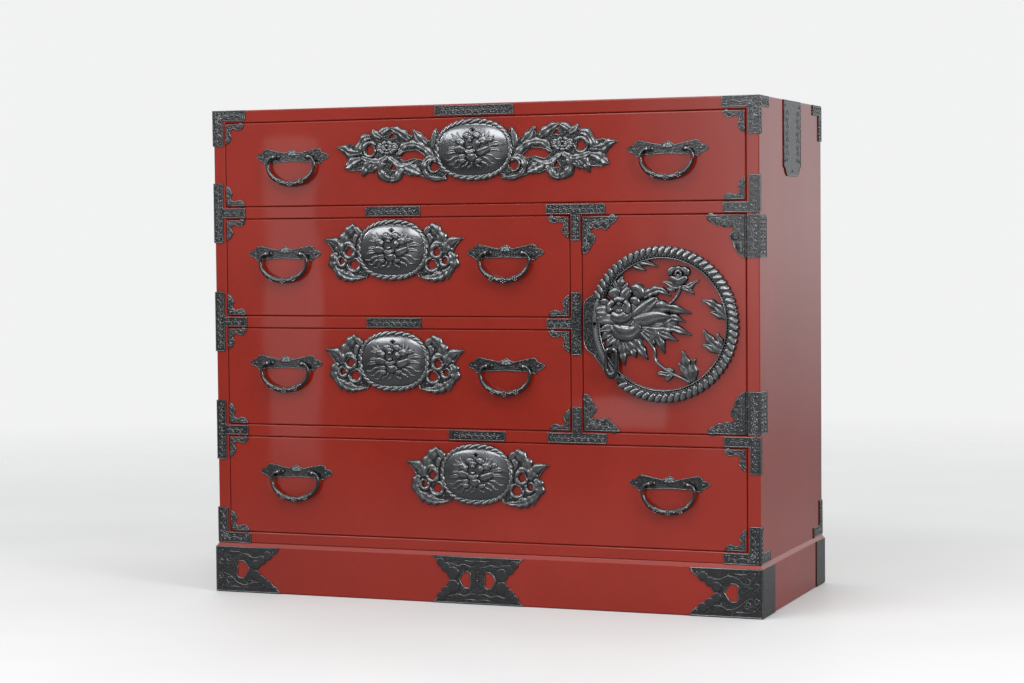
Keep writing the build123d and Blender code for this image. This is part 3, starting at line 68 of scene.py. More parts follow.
@dataclass(frozen=True)
class Board:
    """A flat face that ornament is drawn on.

    Attributes:
        origin: Where u and v are zero, in millimetres of the chest's frame.
        across: Direction of u.
        up: Direction of v.
        out: Direction that stands out of the face.
    """

    origin: Vector
    across: Vector
    up: Vector
    out: Vector

    def at(self, u: float, v: float, h: float) -> Vector:
        """Point of the chest's frame, in metres, for a place on the face."""
        return (self.origin + self.across * u + self.up * v + self.out * h) * MM

    def turned(self, right: float = 1.0, upward: float = 1.0, lift: float = 0.0) -> "Board":
        """The same face, mirrored or raised.

        Args:
            right: Minus one mirrors it sideways.
            upward: Minus one turns it upside down.
            lift: How far it stands off this face.

        Returns:
            The board with the same origin across and upwards.
        """
        return Board(self.origin + self.out * lift, self.across * right, self.up * upward, self.out)

    def spot(self, place: Vector) -> tuple[float, float, float]:
        """Place on the face, and height over it, of a point in metres."""
        offset = place / MM - self.origin
        return (offset.dot(self.across), offset.dot(self.up), offset.dot(self.out))


def front_board(u: float = 0.0, v: float = 0.0, lift: float = 0.0) -> Board:
    """The chest's front face, from a place on it."""
    origin = Vector((u, FRONT - lift, v))
    return Board(origin, Vector((1, 0, 0)), Vector((0, 0, 1)), Vector((0, -1, 0)))


def side_board(side: float, y: float, z: float, lift: float = 0.0) -> Board:
    """A side face of the chest with u running to the back, from a place on it."""
    origin = Vector((side * (HALF_WIDTH + lift), y, z))
    return Board(origin, Vector((0, 1, 0)), Vector((0, 0, 1)), Vector((side, 0, 0)))


def edges_of(node: str) -> tuple[float, float, float, float]:
    """Left, right, low and high edge of a CAD node seen from the front, in millimetres."""
    low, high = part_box(node)
    return (low.x / MM, high.x / MM, low.z / MM, high.z / MM)


def middle_of(node: str) -> Point:
    """Middle of a CAD node seen from the front, in millimetres."""
    left, right, low, high = edges_of(node)
    return ((left + right) / 2, (low + high) / 2)


def flat(u: float, v: float) -> float:
    """Height of a flat surface."""
    return 0.0


def polar(radius: float, angle: float, middle: Point = (0.0, 0.0)) -> Point:
    """Place at a distance from a middle, in a direction in radians."""
    return (middle[0] + radius * math.cos(angle), middle[1] + radius * math.sin(angle))


def bar(u: float, v: float, right: float = 0.0, upward: float = 0.0) -> list[Point]:
    """Both ends of a straight line, from its middle and its reach to the right and upwards."""
    return [(u - right, v - upward), (u + right, v + upward)]


def smooth_line(points: Sequence[Point], count: int) -> list[Vector]:
    """Evenly numbered points of a smooth curve through the given ones.

    Args:
        points: Places that the curve passes.
        count: Number of stretches wanted.

    Returns:
        One more point than there are stretches.
    """
    knots = [Vector(point) for point in points]
    if len(knots) == 2:
        return [knots[0].lerp(knots[1], index / count) for index in range(count + 1)]
    line = []
    spans = len(knots) - 1
    for index in range(count + 1):
        place = index / count * spans
        first = min(int(place), spans - 1)
        t = place - first
        a = knots[max(first - 1, 0)]
        b, c = knots[first], knots[first + 1]
        d = knots[min(first + 2, spans)]
        bend, twist = 2 * a - 5 * b + 4 * c - d, 3 * b - a - 3 * c + d
        line.append(0.5 * (2 * b + (c - a) * t + bend * t * t + twist * t * t * t))
    return line


def curl(centre: Point, radius: float, start: float, turns: float, inner: float = 0.35) -> list[Point]:
    """Places along a scroll that winds inwards.

    Args:
        centre: Middle of the scroll.
        radius: Distance of its first place from the middle.
        start: Direction of its first place, in degrees.
        turns: Turns that it makes, anticlockwise when positive.
        inner: Distance of its last place, as a share of the first.

    Returns:
        The places in order.
    """
    count = max(5, round(abs(turns) * 9))
    places = []
    for index in range(count + 1):
        share = index / count
        angle = math.radians(start) + 2 * math.pi * turns * share
        places.append(polar(radius * (1 - (1 - inner) * share), angle, centre))
    return places


def plate_outlines(node: str, board: Board, level: float, inset: float) -> list[list[Point]]:
    """Finds the edges of a CAD node's flat faces at one height over a board.

    Args:
        node: Name of the node.
        board: Face that the height is measured from.
        level: Height of the wanted faces.
        inset: How far the outlines are moved into the faces.

    Returns:
        Closed outlines, with a place every few millimetres.
    """
    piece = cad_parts[node]
    shape = bmesh.new()
    shape.from_mesh(piece.data)
    bmesh.ops.transform(shape, matrix=piece.matrix_world, verts=shape.verts)
    bmesh.ops.remove_doubles(shape, verts=shape.verts, dist=MM / 100)
    shape.normal_update()
    faces = [
        face for face in shape.faces
        if face.normal.dot(board.out) > 0.99 and abs(board.spot(face.calc_center_median())[2] - level) < 0.05
    ]
    wanted = set(faces)
    ahead = {
        loop.vert: loop.link_loop_next.vert
        for face in faces for loop in face.loops
        if sum(other in wanted for other in loop.edge.link_faces) == 1
    }
    outlines = []
    while ahead:
        first, second = ahead.popitem()
        ring = [first]
        while second is not first and second in ahead:
            ring.append(second)
            second = ahead.pop(second)
        outlines.append(stepped_outline([vert.co.copy() for vert in ring], board, inset))
    shape.free()
    return outlines


def stepped_outline(ring: Sequence[Vector], board: Board, inset: float, pace: float = 3.0) -> list[Point]:
    """Cuts a closed outline in short steps and moves it inwards.

    Args:
        ring: Its corners in metres, with the face to the left.
        board: Face that it lies on.
        inset: How far it is moved.
        pace: Longest step.

    Returns:
        Places on the board, the first one again at the end.
    """
    stepped = []
    for here, there in zip(ring, [*ring[1:], ring[0]]):
        count = max(1, math.ceil((there - here).length / MM / pace))
        stepped += [here.lerp(there, index / count) for index in range(count)]
    places = []
    for index, here in enumerate(stepped):
        along = (stepped[(index + 1) % len(stepped)] - stepped[index - 1]).normalized()
        u, v, _ = board.spot(here + board.out.cross(along) * inset * MM)
        places.append((u, v))
    return [*places, places[0]]


def edges_at(verts: Iterable[bmesh.types.BMVert]) -> list[bmesh.types.BMEdge]:
    """Edges that meet at some corners, each once and always in the same order."""
    return list(dict.fromkeys(edge for vert in verts for edge in vert.link_edges))


class Form(Enum):
    """How a raised shape narrows along its length."""

    LEAF = "leaf"
    PETAL = "petal"
    STEM = "stem"
    SCROLL = "scroll"
    STRAND = "strand"

    def width(self, t: float) -> float:
        """Share of the full width at a place.

        Args:
            t: The place, as a share of the length.

        Returns:
            The share, never quite zero.
        """
        if self is Form.LEAF:
            share = math.sin(math.pi * t**0.7) ** 0.85
        elif self is Form.PETAL:
            share = math.sin(math.pi * t) ** 0.5
        elif self is Form.STEM:
            share = min(1.0, 6 * t + 0.3, 6 * (1 - t) + 0.3)
        elif self is Form.SCROLL:
            share = min(1.0, 6 * t + 0.3) * (1 - 0.55 * t)
        else:
            share = math.sin(math.pi * t) ** 0.6
        return max(share, 0.06)


class Relief:
    """Raised ornament, gathered in one mesh of closed shells.

    Attributes:
        limit: Corners that make a sheet full.
        done: Sheets that are finished.
        mesh: The sheet that takes the next shapes.
        crest: Its layer that holds how far each place stands proud, which the iron's colour turns into a
            painted shade low down and a paler colour, part wear and part painted highlight, high up.
    """

    limit = 1500

    def __init__(self) -> None:
        """Starts with nothing raised."""
        self.done: list[bpy.types.Mesh] = []
        self.open_sheet()

    def open_sheet(self) -> None:
        """Starts an empty mesh for the next shapes."""
        self.mesh = bmesh.new()
        self.crest = self.mesh.verts.layers.float.new("crest")

    def close_sheet(self) -> None:
        """Puts the shapes raised so far aside, with their normals outward."""
        bmesh.ops.recalc_face_normals(self.mesh, faces=self.mesh.faces)
        data = bpy.data.meshes.new("sheet")
        self.mesh.to_mesh(data)
        self.mesh.free()
        self.done.append(data)

    def settle(self) -> None:
        """Starts a new sheet once this one is full, which keeps each new shape quick to make."""
        if len(self.mesh.verts) > self.limit:
            self.close_sheet()
            self.open_sheet()

    def mound(
        self,
        board: Board,
        points: Sequence[Point],
        half_width: float,
        rise: float,
        form: Form = Form.LEAF,
        steps: int = 8,
        strips: int = 6,
        groove: float = 0.0,
        lobes: int = 0,
        surface: Surface = flat,
        sink: float = 0.35,
        lean: float = 0.0,
    ) -> None:
        """Raises a crowned ridge along a curve.

        Args:
            board: Face that it lies on.
            points: Places that its middle passes.
            half_width: Half of its full width.
            rise: Height of its crown.
            form: How it narrows.
            steps: Faces along it.
            strips: Faces across it.
            groove: Depth of the furrow along its middle, as a share of the rise.
            lobes: Number of scallops along its edge.
            surface: Height of what it lies on.
            sink: How far its edge goes into that.
            lean: How far the crown leans to the left side, as a share of the width.
        """
        self.settle()
        line = smooth_line(points, steps)
        made = bmesh.ops.create_grid(self.mesh, x_segments=steps, y_segments=strips, size=1.0)
        verts = made["verts"]
        for vert in verts:
            t, s = (vert.co.x + 1) / 2, vert.co.y
            index = round(t * steps)
            here = line[index]
            along = (line[min(index + 1, steps)] - line[max(index - 1, 0)]).normalized()
            share = form.width(t)
            reach = half_width * share
            if lobes:
                reach *= 1 + 0.2 * math.cos(2 * math.pi * lobes * t) * min(1.0, 3 * share)
            u = here.x - along.y * s * reach
            v = here.y + along.x * s * reach
            leaned = max(-1.0, min(1.0, s - lean * (1 - s * s)))
            crown = max(0.0, 1 - leaned * leaned) ** 0.62
            if form is Form.PETAL:
                crown *= share
            elif form is not Form.STEM:
                crown *= min(1.0, 2.4 * share)
            crown *= 1 - groove * max(0.0, 1 - abs(s) * 3)
            if lobes:
                crown *= 0.86 + 0.14 * math.cos(2 * math.pi * lobes * t)
            edge = abs(s) > 0.999 or t < 0.001 or t > 0.999
            height = surface(u, v) + (-sink if edge else rise * (0.15 + 0.85 * crown))
            vert[self.crest] = 0.0 if edge else crown
            vert.co = board.at(u, v, height)
        rim = [edge for edge in edges_at(verts) if edge.is_boundary]
        for vert in verts:
            for face in vert.link_faces:
                face.smooth = True
        bmesh.ops.holes_fill(self.mesh, edges=rim, sides=0)
        for edge in rim:
            edge.smooth = False

    def knob(
        self, board: Board, place: Point, radius: float, rise: float, surface: Surface = flat, sides: int = 8,
        wear_and_highlight: float = 1.0, power: float = 1.0,
    ) -> None:
        """Raises a round head, such as a nail's.

        Args:
            board: Face that it stands on.
            place: Its middle.
            radius: Its radius.
            rise: How far it stands out.
            surface: Height of what it stands on.
            sides: Faces around it.
            wear_and_highlight: How bright its top is painted, part wear and part painted highlight.
            power: Power of its height, which is small for a flat disc.
        """
        self.settle()
        rings = max(4, sides // 2)
        made = bmesh.ops.create_uvsphere(self.mesh, u_segments=sides, v_segments=rings, radius=1.0)
        level = surface(*place)
        for vert in made["verts"]:
            x, y, z = vert.co
            vert[self.crest] = max(0.0, z) * wear_and_highlight
            height = math.copysign(abs(z) ** power, z) * rise
            vert.co = board.at(place[0] + x * radius, place[1] + y * radius, level + height)
            for face in vert.link_faces:
                face.smooth = True

    def tube(self, places: Sequence[Vector], radii: Sequence[float], depth: float, sides: int = 12) -> None:
        """Makes a round bar through places of the chest's frame, closed at both ends.

        Args:
            places: Middle of the bar at each section, in millimetres, in one plane.
            radii: Radius at each section.
            depth: Most that it reaches out of that plane.
            sides: Faces around it.
        """
        count = len(places) - 1
        made = bmesh.ops.create_grid(self.mesh, x_segments=count, y_segments=sides, size=1.0)
        bottom = places[count // 2]
        normal = (places[0] - bottom).cross(places[-1] - bottom).normalized()
        for vert in made["verts"]:
            index = round((vert.co.x + 1) / 2 * count)
            angle = math.pi * (vert.co.y + 1)
            along = (places[min(index + 1, count)] - places[max(index - 1, 0)]).normalized()
            side = along.cross(normal).normalized()
            radius = radii[index]
            offset = side * math.cos(angle) * radius + normal * math.sin(angle) * min(radius, depth)
            # A fixed middle crest paints the bar a little darker than plain faces, so the flowers' painted
            # highlight stands out.
            vert[self.crest] = 0.3
            vert.co = (places[index] + offset) * MM
            for face in vert.link_faces:
                face.smooth = True
        bmesh.ops.remove_doubles(self.mesh, verts=made["verts"], dist=MM / 100)
        open_edges = [edge for edge in self.mesh.edges if edge.is_boundary]
        bmesh.ops.holes_fill(self.mesh, edges=open_edges, sides=0)
        for edge in open_edges:
            edge.smooth = False

    def vine(self, board: Board, path: Sequence[Point], width: float, rise: float = 0.9) -> None:
        """Raises a winding vine with curls and leaves along a bar.

        Args:
            board: Face that it lies on.
            path: Places that the bar's middle line passes.
            width: Width of the bar.
            rise: Height of the vine.
        """
        length = sum(math.dist(a, b) for a, b in zip(path, path[1:]))
        waves = max(1, round(length / (width * 0.8)))
        last = waves * 4
        line = smooth_line(path, last)

        def place(index: int, forward: float, sideways: float) -> Point:
            """Place beside the vine's path.

            Args:
                index: Which place of the path it is measured from.
                forward: How far it lies along the path, as a share of the bar's width.
                sideways: How far it lies to the left of the path, as such a share too.

            Returns:
                The place on the board.
            """
            along = (line[min(index + 1, last)] - line[max(index - 1, 0)]).normalized()
            spot = line[index] + (along * forward + Vector((-along.y, along.x)) * sideways) * width
            return (spot.x, spot.y)

        stem = [place(index, 0.0, 0.13 * math.sin(index * math.pi / 2)) for index in range(last + 1)]
        self.mound(board, stem, width * 0.05, rise, Form.STEM, steps=waves * 6, strips=4)
        scroll = curl((0.0, 0.0), 0.19, 170, -1.1, 0.3)
        for index in range(1, last, 2):
            side = 1.0 if index % 4 == 1 else -1.0
            curled = [place(index, u, -side * 0.12 + v * side) for u, v in scroll]
            self.mound(board, curled, width * 0.045, rise, Form.SCROLL, steps=9, strips=4)
            leaf = [place(index, -0.16, side * 0.22), place(index, 0.2, side * 0.36)]
            self.mound(board, leaf, width * 0.085, rise * 1.1, Form.LEAF, steps=5, strips=4)

    def lip(self, node: str, board: Board, level: float, half_width: float = 0.8, rise: float = 0.7) -> None:
        """Raises a narrow lip along the edges of a CAD plate.

        Args:
            node: Name of the plate's node.
            board: Face that the plate lies on.
            level: Height of the plate's face over the board.
            half_width: Half of the lip's width.
            rise: Height of the lip over the plate.
        """
        raised = board.turned(lift=level)
        for outline in plate_outlines(node, board, level, half_width + 0.15):
            if len(outline) > 4:
                self.mound(raised, outline, half_width, rise, Form.STEM, steps=len(outline) - 1, strips=4)

    def lobes(self, board: Board, places: Iterable[Disc], rise: float) -> None:
        """Rounds the scallops of a plate with flat discs, each given by its middle and radius."""
        for u, v, radius in places:
            self.knob(board, (u, v), radius, rise, sides=18, wear_and_highlight=0.1, power=0.2)

    def nails(self, board: Board, places: Iterable[Point], radius: float = 2.6, rise: float = 1.7) -> None:
        """Raises a row of nail heads."""
        for place in places:
            self.knob(board, place, radius, rise)

    def piece(self, name: str, body: str, finish: bpy.types.Material) -> bpy.types.Object:
        """Turns what was raised into an iron piece of the chest.

        Args:
            name: Name of the piece.
            body: Body that it moves with.
            finish: Its material.

        Returns:
            The finished object.
        """
        self.close_sheet()
        whole = bmesh.new()
        for sheet in self.done:
            whole.from_mesh(sheet)
            bpy.data.meshes.remove(sheet)
        data = bpy.data.meshes.new(name)
        whole.to_mesh(data)
        whole.free()
        data.materials.append(finish)
        made = bpy.data.objects.new(name, data)
        bpy.context.scene.collection.objects.link(made)
        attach(made, body)
        LOG.info("%s rides on %s, %d faces", name, body, len(data.polygons))
        return made


# Finishes


class Wiring:
    """Small helper that strings the nodes of one tree together."""

    def __init__(self, tree: bpy.types.NodeTree) -> None:
        """Takes the tree that the nodes go to."""
        self.tree = tree

    def node(
        self, kind: str, links: dict[str | int, Socket] | None = None, **values: object
    ) -> bpy.types.Node:
        """Adds a node.

        Args:
            kind: Blender's name of the node's type.
            links: Sockets that feed its inputs, by the input's name or number.
            values: Values of its inputs, or of its settings where it has no such input.

        Returns:
            The node.
        """
        made = self.tree.nodes.new(kind)
        for key, value in values.items():
            if key in made.inputs:
                made.inputs[key].default_value = value
            else:
                setattr(made, key, value)
        for key, socket in (links or {}).items():
            self.tree.links.new(socket, made.inputs[key])
        return made

    def ramp(self, value: Socket, stops: Sequence[tuple[float, Sequence[float]]]) -> Socket:
        """Colours picked by a value.

        Args:
            value: What picks the colour.
            stops: Value and linear colour of each stop.

        Returns:
            The colour's socket.
        """
        made = self.node("ShaderNodeValToRGB", {"Fac": value})
        band = made.color_ramp
        while len(band.elements) < len(stops):
            band.elements.new(0.5)
        for element, (place, colour) in zip(band.elements, stops):
            element.position = place
            element.color = (*colour, 1.0)
        return made.outputs["Color"]

    def span(self, value: Socket, low: float, high: float, start: float = 0.0, end: float = 1.0) -> Socket:
        """A value moved from one range to another.

        Args:
            value: The value.
            low: What it becomes at the start.
            high: What it becomes at the end.
            start: Where its own range starts.
            end: Where its own range ends.

        Returns:
            The moved value, kept inside the new range.
        """
        made = self.node("ShaderNodeMapRange", {"Value": value})
        for key, number in (("From Min", start), ("From Max", end), ("To Min", low), ("To Max", high)):
            made.inputs[key].default_value = number
        return made.outputs["Result"]

    def sum(self, first: Socket, second: Socket, operation: str = "ADD") -> Socket:
        """Two values put together, added unless another operation is named."""
        return self.node("ShaderNodeMath", {0: first, 1: second}, operation=operation).outputs[0]


class Recipe(Wiring):
    """One material's node tree."""

    def __init__(self, name: str) -> None:
        """Starts a material that has only its shader.

        Args:
            name: Name of the material.
        """
        self.material = bpy.data.materials.new(name)
        self.material.use_nodes = True
        super().__init__(self.material.node_tree)
        self.shader = self.tree.nodes["Principled BSDF"]
        sources = self.tree.nodes.new("ShaderNodeTexCoord").outputs
        self.places, self.directions = sources["Object"], sources["Normal"]

    def stretched(self, scale: tuple[float, float, float]) -> Socket:
        """Object coordinates scaled on each axis."""
        return self.node("ShaderNodeMapping", {"Vector": self.places}, Scale=scale).outputs["Vector"]

    def noise(
        self, scale: float, detail: float = 3.0, roughness: float = 0.5, vector: Socket | None = None
    ) -> Socket:
        """Value of a noise pattern, from zero to one.

        Args:
            scale: How many times the pattern changes in a metre.
            detail: How many finer layers it has.
            roughness: How strong the finer layers are.
            vector: Coordinates, the object's own unless given.

        Returns:
            The value's socket.
        """
        links = {"Vector": vector or self.places}
        made = self.node("ShaderNodeTexNoise", links, Scale=scale, Detail=detail, Roughness=roughness)
        return made.outputs["Fac"]

    def blend(self, share: Socket, first: Socket, second: Socket) -> Socket:
        """A value between two others, at the first for a share of zero."""
        return self.node("ShaderNodeMix", {"Factor": share, "A": first, "B": second}).outputs["Result"]

    def dimmed(self, colour: Socket, share: Socket) -> Socket:
        """A colour times a share."""
        made = self.node("ShaderNodeVectorMath", {0: colour, 1: share}, operation="MULTIPLY")
        return made.outputs["Vector"]

    def bump(self, height: Socket, distance: float, strength: float, normal: Socket) -> Socket:
        """Normals of a rough surface.

        Args:
            height: Height of the surface, from zero to one.
            distance: What a height of one stands for, in metres.
            strength: Share of the roughness that shows.
            normal: Normals of the surface without it.

        Returns:
            The normals' socket.
        """
        links = {"Height": height, "Normal": normal}
        return self.node("ShaderNodeBump", links, Distance=distance, Strength=strength).outputs["Normal"]

    def rounded(self, radius: float) -> Socket:
        """Normals that round the sharp edges."""
        return self.node("ShaderNodeBevel", samples=4, Radius=radius).outputs["Normal"]

    def feed(self, **sockets: Socket) -> None:
        """Links sockets to the shader's inputs, named with underscores."""
        for key, socket in sockets.items():
            self.tree.links.new(socket, self.shader.inputs[key.replace("_", " ").title()])

    def fix(self, **numbers: float) -> None:
        """Sets plain numbers on the shader's inputs.

        Args:
            numbers: The numbers, by the input's name with underscores.
        """
        for key, number in numbers.items():
            name = key.replace("_", " ").title().replace("Ior", "IOR")
            self.shader.inputs[name].default_value = number


@dataclass(frozen=True)
class Lacquer:
    """Glossy red lacquer over wood, polished but not quite even.

    Attributes:
        name: Name of the material.
        deep: Colour where the coat is thick.
        bright: Colour where it is thin.
        edge: Radius that the boards' edges are rounded to, in metres.
    """

    name: str = "red_lacquer"
    deep: Colour = (0.18, 0.01, 0.004)
    bright: Colour = (0.222, 0.0142, 0.0064)
    edge: float = 0.0018

    def build(self) -> bpy.types.Material:
        """Makes the material.

        Returns:
            The material, ready for its pieces.
        """
        recipe = Recipe(self.name)
        clouds = recipe.noise(3.2, 4.0, 0.55)
        fine = recipe.noise(90.0, 4.0, 0.6)
        blend = recipe.sum(clouds, recipe.span(fine, -0.12, 0.12))
        colour = recipe.ramp(blend, [(0.3, self.deep), (0.7, self.bright)])
        swell = recipe.noise(7.0, 1.5, 0.4, recipe.stretched((1.0, 1.0, 0.45)))
        skin = recipe.noise(260.0, 2.0, 0.5)
        normal = recipe.bump(swell, 0.003, 0.25, recipe.rounded(self.edge))
        normal = recipe.bump(skin, 0.00006, 0.35, normal)
        scuffs = recipe.span(recipe.noise(24.0, 5.0, 0.7), 0.13, 0.24, 0.35, 0.75)
        recipe.feed(base_color=colour, roughness=scuffs, normal=normal)
        recipe.feed(coat_normal=recipe.bump(swell, 0.003, 0.25, recipe.rounded(self.edge)))
        recipe.fix(ior=1.25, coat_weight=1.0, coat_roughness=0.045, coat_ior=1.5)
        return recipe.material


@dataclass(frozen=True)
class PlainWood:
    """Planed softwood; boards that face the front or back have their grain across.

    Attributes:
        name: Name of the material.
        along: Scale of the grain on the other boards.
        across: Scale of the grain on the boards that face the front or back.
        pale: Colour between the rings.
        dark: Colour of the rings.
    """

    name: str = "planed_wood"
    along: tuple[float, float, float] = (70.0, 1.6, 70.0)
    across: tuple[float, float, float] = (1.6, 70.0, 70.0)
    pale: Colour = (0.5, 0.33, 0.18)
    dark: Colour = (0.37, 0.22, 0.11)

    def build(self) -> bpy.types.Material:
        """Makes the material.

        Returns:
            The material, ready for its pieces.
        """
        recipe = Recipe(self.name)
        facing = recipe.node("ShaderNodeSeparateXYZ", {"Vector": recipe.directions}).outputs["Y"]
        turned = recipe.span(recipe.sum(facing, facing, "MULTIPLY"), 0.0, 1.0, 0.4, 0.6)
        along, across = (
            recipe.noise(1.0, 5.0, 0.6, recipe.stretched(scale)) for scale in (self.along, self.across)
        )
        rings = recipe.blend(turned, along, across)
        knots = recipe.span(recipe.noise(5.0, 2.0, 0.5), -0.08, 0.08, 0.3, 0.7)
        stops = [(0.32, self.dark), (0.5, self.pale), (0.68, self.dark)]
        colour = recipe.ramp(recipe.sum(rings, knots), stops)
        normal = recipe.bump(rings, 0.0004, 0.5, recipe.rounded(0.001))
        recipe.feed(base_color=colour, roughness=recipe.span(rings, 0.5, 0.7), normal=normal)
        return recipe.material


@dataclass(frozen=True)
class BlackIron:
    """Baked black iron, with a painted shade in the hollows and paler crests that are part wear and part
    painted highlight.

    Attributes:
        name: Name of the material.
        hollow_shade: Colour of the lowest places, a painted shade.
        flank: Colour of plain faces.
        worn_and_highlight: Colour of the crests, part wear and part painted highlight.
        pebble: Strength of the hammered pattern.
        roughness: Roughness where it is smoothest.
        metallic: How much it mirrors like bare metal.
        patchy: How far the colour varies at random from place to place.
    """

    name: str = "black_iron"
    hollow_shade: Colour = (0.01, 0.0105, 0.012)
    flank: Colour = (0.07, 0.074, 0.079)
    worn_and_highlight: Colour = (0.28, 0.29, 0.3)
    pebble: float = 0.7
    roughness: float = 0.22
    metallic: float = 0.75
    patchy: float = 0.13

    def build(self) -> bpy.types.Material:
        """Makes the material.

        Returns:
            The material, ready for its pieces.
        """
        recipe = Recipe(self.name)
        crest = recipe.node("ShaderNodeAttribute", attribute_name="crest").outputs["Fac"]
        # Ambient occlusion darkens the colour in creases and under the relief: a painted shade.
        open_air = recipe.node("ShaderNodeAmbientOcclusion", Distance=0.006, samples=6).outputs["AO"]
        light = recipe.span(open_air, 0.2, 1.0, 0.2, 0.9)
        patches = recipe.noise(55.0, 5.0, 0.65)
        grain = recipe.noise(420.0, 3.0, 0.6)
        level = recipe.sum(recipe.span(crest, 0.2, 0.74), recipe.span(patches, -self.patchy, self.patchy))
        level = recipe.sum(level, recipe.span(grain, -0.16, 0.16))
        pebbles = recipe.node("ShaderNodeTexVoronoi", {"Vector": recipe.places}, Scale=260.0)
        cells = pebbles.outputs["Distance"]
        level = recipe.sum(level, recipe.span(cells, 0.35 * self.pebble, -0.35 * self.pebble, 0.0, 0.55))
        # Low places take a painted shade; crests take a paler colour that is part wear and part painted
        # highlight.
        colour = recipe.ramp(level, [(0.0, self.hollow_shade), (0.42, self.flank), (1.0, self.worn_and_highlight)])
        colour = recipe.dimmed(colour, light)
        normal = recipe.bump(cells, 0.0012, self.pebble, recipe.rounded(0.0007))
        normal = recipe.bump(grain, 0.00025, 0.6, normal)
        gloss = recipe.span(patches, self.roughness - 0.08, self.roughness + 0.14)
        recipe.feed(base_color=colour, roughness=gloss, normal=normal)
        recipe.feed(coat_weight=recipe.span(light, 0.05, 0.6))
        recipe.fix(metallic=self.metallic, ior=1.6, coat_roughness=0.1, coat_ior=1.8)
        return recipe.material


def bore(piece: bpy.types.Object, board: Board, place: Point, radius: float) -> None:
    """Cuts a round hole straight through a piece of the front.

    Args:
        piece: The piece.
        board: Face that the hole goes through.
        place: Its middle there.
        radius: Its radius.
    """
    shape = bmesh.new()
    bmesh.ops.create_cone(
        shape, cap_ends=True, segments=24, radius1=radius * MM, radius2=radius * MM, depth=0.06,
        matrix=Matrix.Translation(board.at(*place, 0.0)) @ Matrix.Rotation(math.pi / 2, 4, "X"),
    )
    data = bpy.data.meshes.new("drill")
    shape.to_mesh(data)
    shape.free()
    drill = bpy.data.objects.new("drill", data)
    bpy.context.scene.collection.objects.link(drill)
    cut = piece.modifiers.new("hole", "BOOLEAN")
    cut.object, cut.operation, cut.solver = drill, "DIFFERENCE", "EXACT"
    bpy.context.view_layer.update()
    bored = bpy.data.meshes.new_from_object(piece.evaluated_get(bpy.context.evaluated_depsgraph_get()))
    piece.modifiers.remove(cut)
    piece.data = bored
    bpy.data.objects.remove(drill)


# Ornament tables, in millimetres from the middle of what they decorate


@dataclass(frozen=True)
class Sprig:
    """One leaf, petal or stem of an ornament.

    Attributes:
        points: Places that its middle passes.
        half_width: Half of its full width.
        rise: Height of its crown.
        form: How it narrows.
        groove: Depth of the furrow along its middle.
        lobes: Scallops along its edge.
        lean: How far its crown leans aside.
    """

    points: tuple[Point, ...]
    half_width: float
    rise: float
    form: Form = Form.LEAF
    groove: float = 0.0
    lobes: int = 0
    lean: float = 0.0

    def raise_on(
        self, relief: Relief, board: Board, surface: Surface = flat, fullness: float = 1.0, sink: float = 0.35
    ) -> None:
        """Raises the sprig on a board.

        Args:
            relief: Mesh that takes it.
            board: Face that it lies on.
            surface: Height of what it lies on.
            fullness: Share of its drawn width.
            sink: How far its edge goes into what it lies on.
        """
        points = self.points
        length = sum(math.dist(a, b) for a, b in zip(points, points[1:]))
        steps = max(6, min(28, round(length / 3.0)))
        relief.mound(
            board, points, self.half_width * fullness, self.rise, self.form, steps=steps,
            strips=4 if self.half_width < 3 else 8, groove=self.groove, lobes=self.lobes,
            surface=surface, lean=self.lean, sink=sink,
        )


def blossom(
    centre: Point, reach: Point, petals: int, half_width: float, rise: float, turn: float
) -> tuple[Sprig, ...]:
    """Petals all round a place, with a second ring inside the first.

    Args:
        centre: Middle of the blossom.
        reach: How far the petals go across and upwards.
        petals: Number of petals in the outer ring.
        half_width: Half width of an outer petal.
        rise: Height of an outer petal.
        turn: Direction of the first petal in degrees.

    Returns:
        The petals, outer ones first.
    """
    made = []
    rings = ((0.35, 1.0, petals, 1.0, 1.0), (0.05, 0.55, max(3, petals - 3), 0.7, 1.18))
    for near, far, count, width, height in rings:
        for index in range(count):
            angle = math.radians(turn + 360 * (index + far / 2) / count)
            c, s = math.cos(angle), math.sin(angle)
            places = tuple(
                (centre[0] + reach[0] * share * c, centre[1] + reach[1] * share * s)
                for share in (near, (near + far) / 2, far)
            )
            made.append(Sprig(places, half_width * width, rise * height, Form.PETAL, 0.3))
    return tuple(made)


L, P, S, C = Form.LEAF, Form.PETAL, Form.STEM, Form.SCROLL

